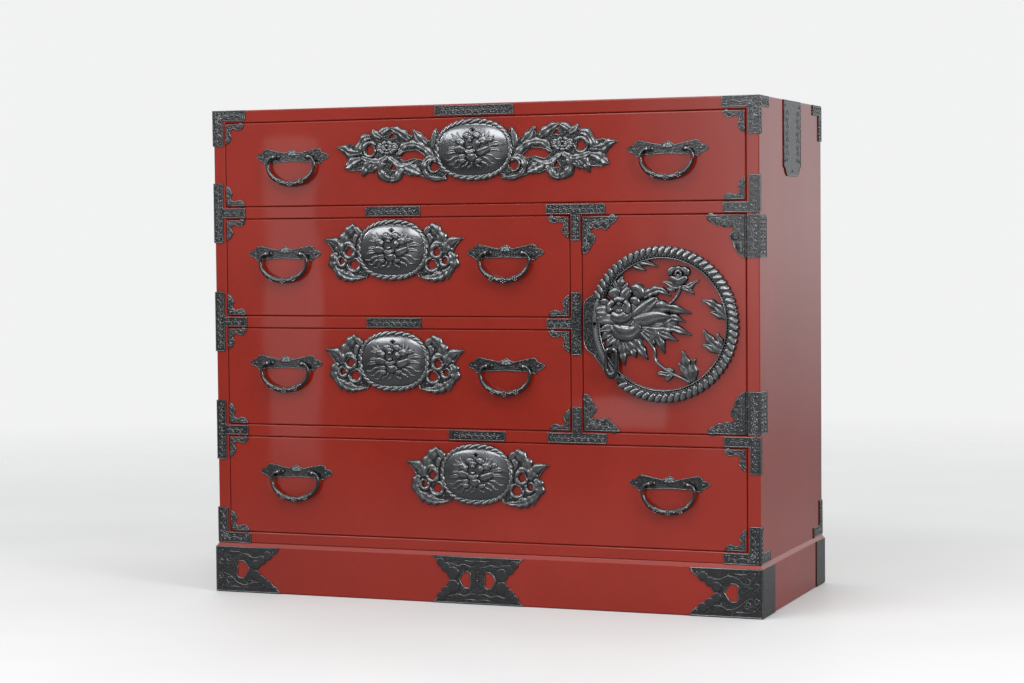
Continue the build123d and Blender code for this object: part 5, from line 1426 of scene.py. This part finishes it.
@dataclass
class Drawer:
    """One drawer: its front, box, lock plate, handles and corner plates.

    Attributes:
        name: Name of its body, which its nodes' names start with.
        lock: Sizes of its lock plate.
        finishes: The chest's materials.
        handle_drop: How far the handles' pins lie under the front's upper edge.
        plate: Thickness of its small plates.
        swell: How much wider the leaves of the wings are than drawn.
        petal_swell: How much wider the petals on the boss are than drawn.
        flower: Middle of the flower on a handle's plate.
    """

    name: str
    lock: LockShape
    finishes: Finishes
    handle_drop: float = 65.0
    plate: float = 1.6
    swell: float = 1.22
    petal_swell: float = 1.15
    flower: Point = (0.0, 3.0)

    def dress_nodes(self) -> None:
        """Coats the drawer's CAD nodes."""
        coat(f"{self.name}_front", self.finishes.lacquer)
        coat(f"{self.name}_box", self.finishes.wood)
        for part in ("fittings", "lock_plate", "lock_case", "lock_bolt"):
            coat(f"{self.name}_{part}", self.finishes.iron)

    def build_lock(self) -> None:
        """Makes the boss with its rope and flower, and the pierced wings."""
        middle = middle_of(f"{self.name}_front")[0]
        board = front_board(middle, middle_of(f"{self.name}_lock_plate")[1])
        self.build_boss(board)
        self.build_rope(board)
        flower = Relief()
        for sprig in OVAL_PEONY:
            fullness = self.petal_swell if sprig.form is Form.PETAL else 1.0
            sprig.raise_on(flower, board, self.lock.boss.height, fullness)
        flower.piece(f"{self.name}_lock_flower", self.name, self.finishes.cast)
        wings = Relief()
        for flip in (-1.0, 1.0):
            for sprig in self.lock.wing:
                face = board.turned(flip, lift=self.lock.plate - 0.4)
                sprig.raise_on(wings, face, fullness=self.swell, sink=1.0)
            wings.nails(board.turned(flip, lift=self.lock.plate), self.lock.nails, 2.4)
        wings.lip(f"{self.name}_lock_plate", board, self.lock.plate, 1.1, 1.2)
        wings.piece(f"{self.name}_lock_leaves", self.name, self.finishes.cast)

    def build_boss(self, board: Board) -> None:
        """Makes the smooth boss and the bed of the rope.

        Args:
            board: Face with its origin in the middle of the boss.
        """
        relief = Relief()
        bed, boss = self.lock.bed, self.lock.boss
        levels = [(bed, 1.0, -0.3), (bed, 1.0, 3.4), (bed, 0.985, 4.6)]
        levels += [(boss, 1.012, 5.0), (boss, 1.003, 4.7)]
        levels += [(boss, scale, None) for scale in (0.985, 0.95, 0.88, 0.78, 0.64, 0.48, 0.3, 0.14)]
        made = bmesh.ops.create_circle(relief.mesh, segments=72, radius=1.0, cap_ends=False)
        edges = edges_at(made["verts"])
        angles = {vert: math.atan2(vert.co.y, vert.co.x) for vert in made["verts"]}
        bottom = list(edges)
        for index, (shape, scale, height) in enumerate(levels):
            if index:
                grown = bmesh.ops.extrude_edge_only(relief.mesh, edges=edges)["geom"]
                edges = [item for item in grown if isinstance(item, bmesh.types.BMEdge)]
                fresh = {}
                for vert in grown:
                    if isinstance(vert, bmesh.types.BMVert):
                        beside = (edge.other_vert(vert) for edge in vert.link_edges)
                        fresh[vert] = next(angles[other] for other in beside if other in angles)
                angles = fresh
            for vert, angle in angles.items():
                u, v = shape.edge(angle, scale)
                vert.co = board.at(u, v, shape.height(u, v) if height is None else height)
                vert[relief.crest] = 0.5
        bmesh.ops.holes_fill(relief.mesh, edges=edges, sides=0)
        for face in relief.mesh.faces:
            face.smooth = True
        bmesh.ops.holes_fill(relief.mesh, edges=bottom, sides=0)
        piece = relief.piece(f"{self.name}_lock_boss", self.name, self.finishes.polished)
        bore(piece, board, (0.0, self.lock.keyhole_level), self.lock.keyhole)

    def build_rope(self, board: Board) -> None:
        """Makes the rope round the boss.

        Args:
            board: Face with its origin in the middle of the boss.
        """
        rope = Relief()
        bed, boss = self.lock.bed, self.lock.boss
        raised = board.turned(lift=self.lock.strand_lift)
        step = 2 * math.pi / self.lock.strands
        for index in range(self.lock.strands):
            angle = 2 * math.pi * index / self.lock.strands
            places = [bed.edge(angle, 0.995), bed.edge(angle + 0.7 * step, 0.95)]
            places.append(boss.edge(angle + 1.5 * step))
            rope.mound(raised, places, *self.lock.strand, Form.STRAND, lean=0.2, sink=1.4)
        rope.piece(f"{self.name}_lock_rope", self.name, self.finishes.cast)

    def build_corners(self) -> None:
        """Embosses the four scalloped corner plates and edges all the small plates."""
        relief = Relief()
        left, right, low, high = edges_of(f"{self.name}_front")
        for u, inward in ((left, 1.0), (right, -1.0)):
            for v, upward in ((high, 1.0), (low, -1.0)):
                board = front_board(u, v, self.plate).turned(inward, upward)
                relief.lobes(front_board(u, v).turned(inward, upward), CORNER_LOBES, self.plate + 0.3)
                relief.vine(board, [(35, -4.5), (18, -6.5), (7.5, -9), (6, -20), (4.5, -34)], 11.0, 1.0)
                relief.nails(board, ((6, -6), (28, -5.5), (5.5, -29.5)), 2.1, 1.4)
        relief.lip(f"{self.name}_fittings", front_board(), self.plate)
        relief.piece(f"{self.name}_corner_leaves", self.name, self.finishes.cast)

    def build_handles(self) -> None:
        """Makes the two drop handles and the trim of their plates."""
        level = edges_of(f"{self.name}_front")[3] - self.handle_drop
        trim = Relief()
        for word in ("left", "right"):
            node = f"{self.name}_{word}_bail"
            middle = middle_of(node)[0]
            board = front_board(middle, level, self.plate)
            DropHandle(node, middle, level, self.finishes).build()
            for right in (-1.0, 1.0):
                face = board.turned(right)
                for u in (6.0, 11.0, 16.0, 21.0):
                    trim.mound(face, [(u, -5.6), (u + 3.6, -4.6)], 0.8, 0.9, steps=4, strips=4)
                    trim.mound(face, [(u + 1.0, -2.4), (u + 4.2, -1.4)], 0.7, 0.8, steps=4, strips=4)
                trim.knob(face, (61.0, 0.0), 2.2, 1.8, sides=10)
                trim.knob(face, (31.0, 0.0), 5.6, 3.4, sides=12, wear_and_highlight=0.3)
            for turn in range(-3, 4):
                angle = math.radians(90 + turn * 27)
                tip = (11.5 * math.cos(angle), self.flower[1] + 9.5 * math.sin(angle))
                trim.mound(board, [self.flower, tip], 2.5, 2.2, Form.PETAL, steps=6, strips=4)
            trim.knob(board, self.flower, 3.0, 3.0, sides=10)
        trim.piece(f"{self.name}_handle_trim", self.name, self.finishes.cast)

    def build(self) -> None:
        """Makes every piece of the drawer."""
        self.dress_nodes()
        self.build_lock()
        self.build_corners()
        self.build_handles()


# Half of each handle's arc: place across and upwards, then thickness, all as shares
BAIL_ARC: tuple[tuple[float, float, float], ...] = (
    (0.74, 0.0, 0.38), (0.90, -0.05, 0.38), (1.0, -0.26, 0.42), (0.95, -0.52, 0.5), (0.74, -0.77, 0.64),
    (0.40, -0.94, 0.7), (0.0, -1.0, 0.7),
)
PULL_ARC: tuple[tuple[float, float, float], ...] = (
    (0.62, 0.0, 0.45), (0.90, -0.08, 0.5), (1.0, -0.45, 0.52), (0.86, -0.74, 0.65), (0.0, -0.88, 1.0),
)


@dataclass
class DropHandle:
    """Cast drop handle, thick at the bottom of its arc.

    Attributes:
        node: Node and body of the plain solid that it stands for.
        middle: Its middle across.
        level: Height of its pins.
        finishes: The chest's materials.
        arc: Half of its arc, as shares of the sizes below.
        half_width: Half of its width.
        drop: Height of its arc.
        reach: How far its middle line stands out of the front.
        thick: Radius of its bar at a share of one.
        depth: Most that the bar reaches to the front or back.
        pin: Length of its pins.
        pin_radius: Radius of their ends.
        knuckle: Radius of the balls that the pins start from.
        flowers: Where the small flowers sit, as shares of the arc's length.
        buds: Where the buds sit.
        flower_lift: How far these stand before the bar's middle line.
        flower_radius: Radius of the ring of petals.
        petal: Radius and rise of a petal.
        heart: Radius and rise of a flower's middle.
        bud: Radius and rise of a bud.
    """

    node: str
    middle: float
    level: float
    finishes: Finishes
    arc: tuple[tuple[float, float, float], ...] = BAIL_ARC
    half_width: float = 48.0
    drop: float = 50.0
    reach: float = 9.0
    thick: float = 7.3
    depth: float = 5.2
    pin: float = 6.4
    pin_radius: float = 1.95
    knuckle: float = 3.7
    flowers: tuple[float, ...] = (0.397, 0.5, 0.603)
    buds: tuple[float, ...] = (0.345, 0.449, 0.551, 0.655)
    flower_lift: float = 3.0
    flower_radius: float = 3.9
    petal: Point = (2.0, 4.6)
    heart: Point = (1.8, 5.4)
    bud: Point = (2.2, 4.2)

    def middle_line(self, count: int) -> list[Vector]:
        """Places along the middle of the bar, in millimetres from its pins' level."""
        shares = [(-u, v) for u, v, _ in self.arc] + [(u, v) for u, v, _ in self.arc[-2::-1]]
        return [Vector((p.x * self.half_width, p.y * self.drop)) for p in smooth_line(shares, count)]

    def build_bar(self, relief: Relief) -> None:
        """Makes the bar and its two pins.

        Args:
            relief: Mesh that takes them.
        """
        count = 40
        sizes = smooth_line([(r, 0.0) for _, _, r in (*self.arc, *self.arc[-2::-1])], count)
        places = [
            Vector((self.middle + p.x, FRONT - self.reach, self.level + p.y)) for p in self.middle_line(count)
        ]
        inward = Vector((self.pin, 0, 0))
        places = [places[0] + inward, *places, places[-1] - inward]
        radii = [self.pin_radius, *(p.x * self.thick for p in sizes), self.pin_radius]
        relief.tube(places, radii, self.depth, 14)
        end = self.arc[0][0] * self.half_width
        face = front_board(self.middle, self.level, self.reach)
        for u in (-end, end):
            relief.knob(face, (u, 0.0), self.knuckle, self.knuckle, sides=12)

    def build_flowers(self, relief: Relief) -> None:
        """Makes the small flowers and buds on the bar's front.

        Args:
            relief: Mesh that takes them.
        """
        face = front_board(self.middle, self.level, self.reach + self.flower_lift)
        count = 100
        line = self.middle_line(count)
        for share in self.flowers:
            middle = tuple(line[round(share * count)])
            for angle in range(30, 360, 60):
                place = polar(self.flower_radius, math.radians(angle), middle)
                relief.knob(face, place, *self.petal)
            relief.knob(face, middle, *self.heart)
        for share in self.buds:
            relief.knob(face, tuple(line[round(share * count)]), *self.bud)

    def build(self) -> None:
        """Makes the handle in place of its plain solid."""
        relief = Relief()
        self.build_bar(relief)
        self.build_flowers(relief)
        piece = relief.piece(self.node + "_casting", self.node, self.finishes.grip)
        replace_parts(piece, self.node)


@dataclass
class Door:
    """Cupboard door with its ring, openwork peony, lock and drop pull.

    Attributes:
        finishes: The chest's materials.
        ring_middle: Radius of the ring's middle line.
        ring_rise: Height of its band over the door.
        ring_plate: Thickness of its plate.
        gap: Where the ring has its keyhole lobe in place of the rope, in degrees.
        gap_overlap: How far the lobe's band runs in under the rope, in degrees.
        strands: Number of strands of the rope.
        rope: Radius and lead of each place of a strand.
        lead: Angle of a lead of one, in degrees.
        rope_lift: Height over the door that the strands rise from.
        beads: Number of beads inside the rope.
        bead_circle: Radius of their circle.
        bead: Radius of a bead.
        lobe_beads: Number of beads along the keyhole lobe.
        lobe_ridge: Radius of the ridge inside these.
        plate: Thickness of the corner plates.
        keyhole: Middle of the keyhole's round part, from the ring's middle.
        keyhole_radius: Its radius.
        pull_drop: How far the pull's pins lie under the ring's middle.
        swell: How much wider the peony's leaves are than drawn.
    """

    finishes: Finishes
    ring_middle: float = 126.0
    ring_rise: float = 9.5
    ring_plate: float = 3.0
    gap: tuple[float, float] = (157.0, 231.0)
    gap_overlap: float = 2.0
    strands: int = 56
    rope: tuple[Point, ...] = ((137.6, 0.0), (133.5, 0.35), (128.5, 0.7), (121.5, 1.05))
    lead: float = 4.4
    rope_lift: float = 7.4
    beads: int = 116
    bead_circle: float = 120.4
    bead: float = 2.2
    lobe_beads: int = 30
    lobe_ridge: float = 117.2
    plate: float = 1.6
    keyhole: Point = (-126.25, 0.0)
    keyhole_radius: float = 2.8
    pull_drop: float = 45.0
    swell: float = 1.22

    @property
    def board(self) -> Board:
        """The door's face, with its origin in the middle of the ring."""
        return front_board(*middle_of("door_panel"))

    @staticmethod
    def arc(radius: float, ends: tuple[float, float], count: int, offset: float = 0.0) -> list[Point]:
        """Places on a circle round the ring's middle.

        Args:
            radius: Radius of the circle.
            ends: Where the arc starts and ends, in degrees.
            count: Number of stretches.
            offset: Share of a stretch that the places lie beyond its start.

        Returns:
            One place for each stretch, and the arc's end too where there is no offset.
        """
        start, end = ends
        return [
            polar(radius, math.radians(start + (end - start) * (index + offset) / count))
            for index in range(count if offset else count + 1)
        ]

    def dress_nodes(self) -> None:
        """Coats the door's CAD nodes."""
        coat("door_panel", self.finishes.lacquer)
        for node in (
            "door_corner_plates", "door_hinge_leaves", "door_ring", "door_lock_case", "door_lock_bolt",
        ):
            coat(node, self.finishes.iron)

    def build_ring(self) -> None:
        """Makes the roped edge, the smooth band and the beads of the ring."""
        relief = Relief()
        board = self.board
        rope_ends = (self.gap[1] - 360.0, self.gap[0])
        lobe_ends = (self.gap[0] - self.gap_overlap, self.gap[1] + self.gap_overlap)
        count, lobe_count = 96, 24
        band = self.arc(self.ring_middle, rope_ends, count)
        for share, half_width, sunk in ((0.93, 2.3, 0.4), (1.024, 7.6, 0.9)):
            line = [(u * share, v * share) for u, v in band]
            relief.mound(board, line, half_width, self.ring_rise - sunk, Form.STEM, steps=count)
        raised = board.turned(lift=self.rope_lift)
        start, end = rope_ends
        for index in range(self.strands):
            angle = math.radians(start + (end - start) * (index + 0.5) / self.strands)
            places = [polar(reach, angle + math.radians(self.lead) * share) for reach, share in self.rope]
            relief.mound(raised, places, 6.6, 4.0, Form.STRAND, steps=9, strips=8, lean=0.25, sink=7.2)
        for place in self.arc(self.bead_circle, rope_ends, self.beads, 0.5):
            relief.knob(board, place, self.bead, self.ring_rise + 1.4, sides=6)
        ridge = self.arc(self.lobe_ridge, lobe_ends, lobe_count)
        relief.mound(board, ridge, 2.4, 8.4, Form.STEM, steps=lobe_count)
        for place in self.arc(self.bead_circle, self.gap, self.lobe_beads, 0.5):
            relief.knob(board, place, self.bead, 7.6, sides=6)
        relief.lip("door_ring", front_board(), self.ring_plate, 1.0, 1.0)
        relief.piece("door_ring_rope", "door", self.finishes.cast)
        bridge = Relief()
        crown = self.arc(self.ring_middle, lobe_ends, lobe_count)
        bridge.mound(board, crown, 7.6, 5.4, Form.STEM, steps=lobe_count, strips=10)
        piece = bridge.piece("door_ring_bridge", "door", self.finishes.cast)
        bore(piece, board, self.keyhole, self.keyhole_radius)

    def build_peony(self) -> None:
        """Makes the openwork peony with its stems, bud and leaves."""
        relief = Relief()
        raised = self.board.turned(lift=self.ring_plate + 0.2)
        for sprig in RING_PEONY:
            sprig.raise_on(relief, raised, fullness=self.swell, sink=3.3)
        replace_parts(relief.piece("door_peony_petals", "door", self.finishes.cast), "door_peony")

    def build_corners(self) -> None:
        """Embosses the corner plates and the hinge leaves."""
        relief = Relief()
        left, right, low, high = edges_of("door_panel")
        for v, upward in ((high, 1.0), (low, -1.0)):
            board = front_board(left, v, self.plate).turned(1.0, upward)
            relief.lobes(front_board(left, v).turned(1.0, upward), DOOR_CORNER_LOBES, self.plate + 0.3)
            relief.vine(board, [(60, -7), (38, -11), (17, -14), (11, -34), (7, -60)], 17.0, 1.1)
            relief.vine(board, [(34, -17), (24, -13), (15, -22), (17, -34)], 9.0, 1.1)
            relief.nails(board, ((8, -8), (48, -8), (8, -53)))
            board = front_board(right, v, self.plate).turned(-1.0, upward)
            relief.lobes(front_board(right, v).turned(-1.0, upward), HINGE_LOBES, self.plate + 0.3)
            relief.vine(board, [(64, -6), (44, -10), (24, -12), (11, -26), (8, -66)], 17.0, 1.1)
            relief.vine(board, [(48, -16), (34, -17), (20, -24), (20, -44)], 10.0, 1.1)
            relief.nails(board, ((8, -8), (52, -7), (8, -64)))
        relief.lip("door_corner_plates", front_board(), self.plate)
        relief.lip("door_hinge_leaves", front_board(), self.plate)
        relief.piece("door_plate_vines", "door", self.finishes.cast)

    def build_pull(self) -> None:
        """Makes the drop pull, a small handle without flowers."""
        middle = middle_of("door_pull")[0]
        level = middle_of("door_panel")[1] - self.pull_drop
        DropHandle(
            "door_pull", middle, level, self.finishes, PULL_ARC, half_width=9.5, drop=52.0, reach=13.8,
            thick=6.5, depth=3.7, pin=4.9, flowers=(), buds=(),
        ).build()

    def build(self) -> None:
        """Makes every piece of the door."""
        self.dress_nodes()
        self.build_ring()
        self.build_peony()
        self.build_corners()
        self.build_pull()


# Studio


@dataclass(frozen=True)
class Lamp:
    """A soft lamp of the studio.

    Attributes:
        name: Its name.
        place: Where it hangs, in metres.
        aim: What it points at.
        size: Its width and height.
        power: Its power in watts.
    """

    name: str
    place: tuple[float, float, float]
    aim: tuple[float, float, float]
    size: tuple[float, float]
    power: float

    def build(self) -> None:
        """Makes the lamp."""
        data = bpy.data.lights.new(self.name, "AREA")
        data.shape, data.energy = "RECTANGLE", self.power
        data.size, data.size_y = self.size
        place = Vector(self.place)
        turn = (place - Vector(self.aim)).to_track_quat("Z", "Y").to_matrix().to_4x4()
        lamp = bpy.data.objects.new(self.name, data)
        lamp.matrix_world = Matrix.Translation(place) @ turn
        bpy.context.scene.collection.objects.link(lamp)


LAMPS: tuple[Lamp, ...] = (
    Lamp("overhead", (-0.2, -1.5, 2.7), (0.0, -0.25, 0.5), (1.6, 0.45), 22.0),
    Lamp("left_light", (-1.75, -3.0, 1.8), (-0.1, -0.2, 0.6), (0.85, 0.8), 11.0),
    Lamp("right_light", (-0.35, -3.1, 1.8), (0.1, -0.2, 0.6), (1.1, 0.8), 15.0),
    Lamp("window", (-2.4, -2.2, 1.8), (0.0, -0.2, 0.5), (0.3, 0.7), 11.0),
    Lamp("side", (3.2, -1.6, 1.8), (0.5, -0.1, 0.4), (0.9, 1.4), 62.0),
    Lamp("strip", (-1.96, -3.4, 0.4), (-0.37, 0.0, 0.45), (0.16, 1.2), 0.42),
    Lamp("pane", (-0.79, -3.4, 0.09), (0.27, 0.0, 0.36), (0.28, 0.1), 0.085),
)


def greys(stops: Sequence[Point]) -> list[tuple[float, Colour]]:
    """Stops of a ramp of greys, from the value and brightness of each."""
    return [(place, (level, level, level)) for place, level in stops]


@dataclass
class Studio:
    """Pale floor, soft light and the camera.

    Attributes:
        place: Where the camera stands, in millimetres.
        yaw: How far it looks to the left, in radians.
        pitch: How far it looks down.
        roll: How far it leans.
        lens: Its focal length for a sensor 36 mm wide.
        sky: Brightness of the surroundings by height, from the horizon up.
        wall: Brightness from the left to the right, which the gloss mirrors.
        backdrop: Colour that the camera sees behind the chest.
        floor_tones: The floor's two colours.
        floor_half: Half of the floor's width, in metres.
        floor_fade: Where the floor starts to fade, and where it ends.
        floor_mirrored: Share of the floor's brightness that the gloss mirrors.
    """

    place: tuple[float, float, float] = (1592.12, -4148.03, 678.85)
    yaw: float = 0.3694
    pitch: float = 0.0471
    roll: float = -0.0092
    lens: float = 82.34
    sky: tuple[Point, ...] = ((0.0, 0.0), (0.15, 0.35), (0.35, 0.85), (1.0, 1.15))
    wall: tuple[Point, ...] = (
        (0.0, 0.36), (0.08, 0.34), (0.18, 0.26), (0.23, 0.36), (0.3, 1.7), (0.5, 0.56), (1.0, 0.56),
    )
    backdrop: Colour = (0.885, 0.888, 0.89)
    floor_tones: tuple[Colour, Colour] = ((0.56, 0.557, 0.553), (0.59, 0.587, 0.583))
    floor_half: float = 8.0
    floor_fade: tuple[float, float] = (1.2, 4.2)
    floor_mirrored: float = 0.22

    def build_camera(self) -> None:
        """Makes the camera."""
        data = bpy.data.cameras.new("camera")
        data.lens, data.sensor_width = self.lens, 36.0
        data.clip_end = 50.0
        camera = bpy.data.objects.new("camera", data)
        level = math.cos(self.pitch)
        ahead = Vector((-math.sin(self.yaw) * level, math.cos(self.yaw) * level, -math.sin(self.pitch)))
        right = Vector((math.cos(self.yaw), math.sin(self.yaw), 0.0))
        up = right.cross(ahead)
        tilted = right * math.cos(self.roll) + up * math.sin(self.roll)
        upright = up * math.cos(self.roll) - right * math.sin(self.roll)
        turn = Matrix((tilted, upright, -ahead)).transposed().to_4x4()
        camera.matrix_world = Matrix.Translation(Vector(self.place) * MM) @ turn
        bpy.context.scene.collection.objects.link(camera)
        bpy.context.scene.camera = camera

    def build_floor(self) -> None:
        """Makes the pale floor."""
        shape = bmesh.new()
        bmesh.ops.create_grid(shape, x_segments=1, y_segments=1, size=self.floor_half)
        data = bpy.data.meshes.new("floor")
        shape.to_mesh(data)
        shape.free()
        floor = bpy.data.objects.new("floor", data)
        bpy.context.scene.collection.objects.link(floor)
        recipe = Recipe("pale_floor")
        tone = recipe.ramp(recipe.noise(2.0), list(zip((0.3, 0.7), self.floor_tones)))
        mirrored = recipe.node("ShaderNodeLightPath").outputs["Is Glossy Ray"]
        recipe.feed(base_color=recipe.dimmed(tone, recipe.span(mirrored, 1.0, self.floor_mirrored)))
        recipe.fix(roughness=0.6)
        reach = recipe.node("ShaderNodeVectorMath", {0: recipe.places}, operation="LENGTH").outputs["Value"]
        fade = recipe.span(reach, 0.0, 1.0, *self.floor_fade)
        clear = recipe.node("ShaderNodeBsdfTransparent").outputs[0]
        mix = recipe.node("ShaderNodeMixShader", {"Fac": fade, 1: recipe.shader.outputs[0], 2: clear})
        recipe.tree.links.new(mix.outputs[0], recipe.tree.nodes["Material Output"].inputs["Surface"])
        data.materials.append(recipe.material)

    def build_world(self) -> None:
        """Makes the soft light from all around."""
        world = bpy.data.worlds.new("studio")
        world.use_nodes = True
        tree = world.node_tree
        plain = tree.nodes["Background"]
        plain.inputs["Color"].default_value = (0.97, 0.985, 1.0, 1.0)
        wiring = Wiring(tree)
        ways = wiring.node("ShaderNodeTexCoord").outputs["Generated"]
        split = wiring.node("ShaderNodeSeparateXYZ", {"Vector": ways})
        across, upward = split.outputs["X"], split.outputs["Z"]
        sky = wiring.ramp(wiring.span(upward, 0.0, 1.0, 0.03, 0.6), greys(self.sky))
        wall = wiring.ramp(wiring.span(across, 0.0, 1.0, -0.5, 0.3), greys(self.wall))
        wall = wiring.sum(wall, wiring.span(upward, 0.25, 1.0, -0.12, 0.0), "MULTIPLY")
        tree.links.new(wiring.sum(sky, wall, "MAXIMUM"), plain.inputs["Strength"])
        shown = wiring.node("ShaderNodeBackground", Color=(*self.backdrop, 1.0), Strength=1.0)
        seen = wiring.node("ShaderNodeLightPath").outputs["Is Camera Ray"]
        mix = wiring.node("ShaderNodeMixShader", {"Fac": seen, 1: plain.outputs[0], 2: shown.outputs[0]})
        tree.links.new(mix.outputs[0], tree.nodes["World Output"].inputs["Surface"])
        bpy.context.scene.world = world

    def build(self) -> None:
        """Makes the whole studio."""
        self.build_camera()
        self.build_floor()
        self.build_world()
        for lamp in LAMPS:
            lamp.build()
        bpy.context.scene.view_settings.view_transform = "Standard"
        LOG.info("studio is set")


def main() -> None:
    """Builds the chest in order, from the carcase to the camera."""
    logging.basicConfig(level=logging.INFO, format="%(message)s")
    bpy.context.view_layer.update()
    finishes = Finishes()
    Carcase(finishes).build()
    Drawer("top_drawer", WIDE_LOCK, finishes).build()
    for name in ("upper_drawer", "lower_drawer", "bottom_drawer"):
        Drawer(name, SMALL_LOCK, finishes).build()
    Door(finishes).build()
    Studio().build()


if __name__ == "__main__":
    main()
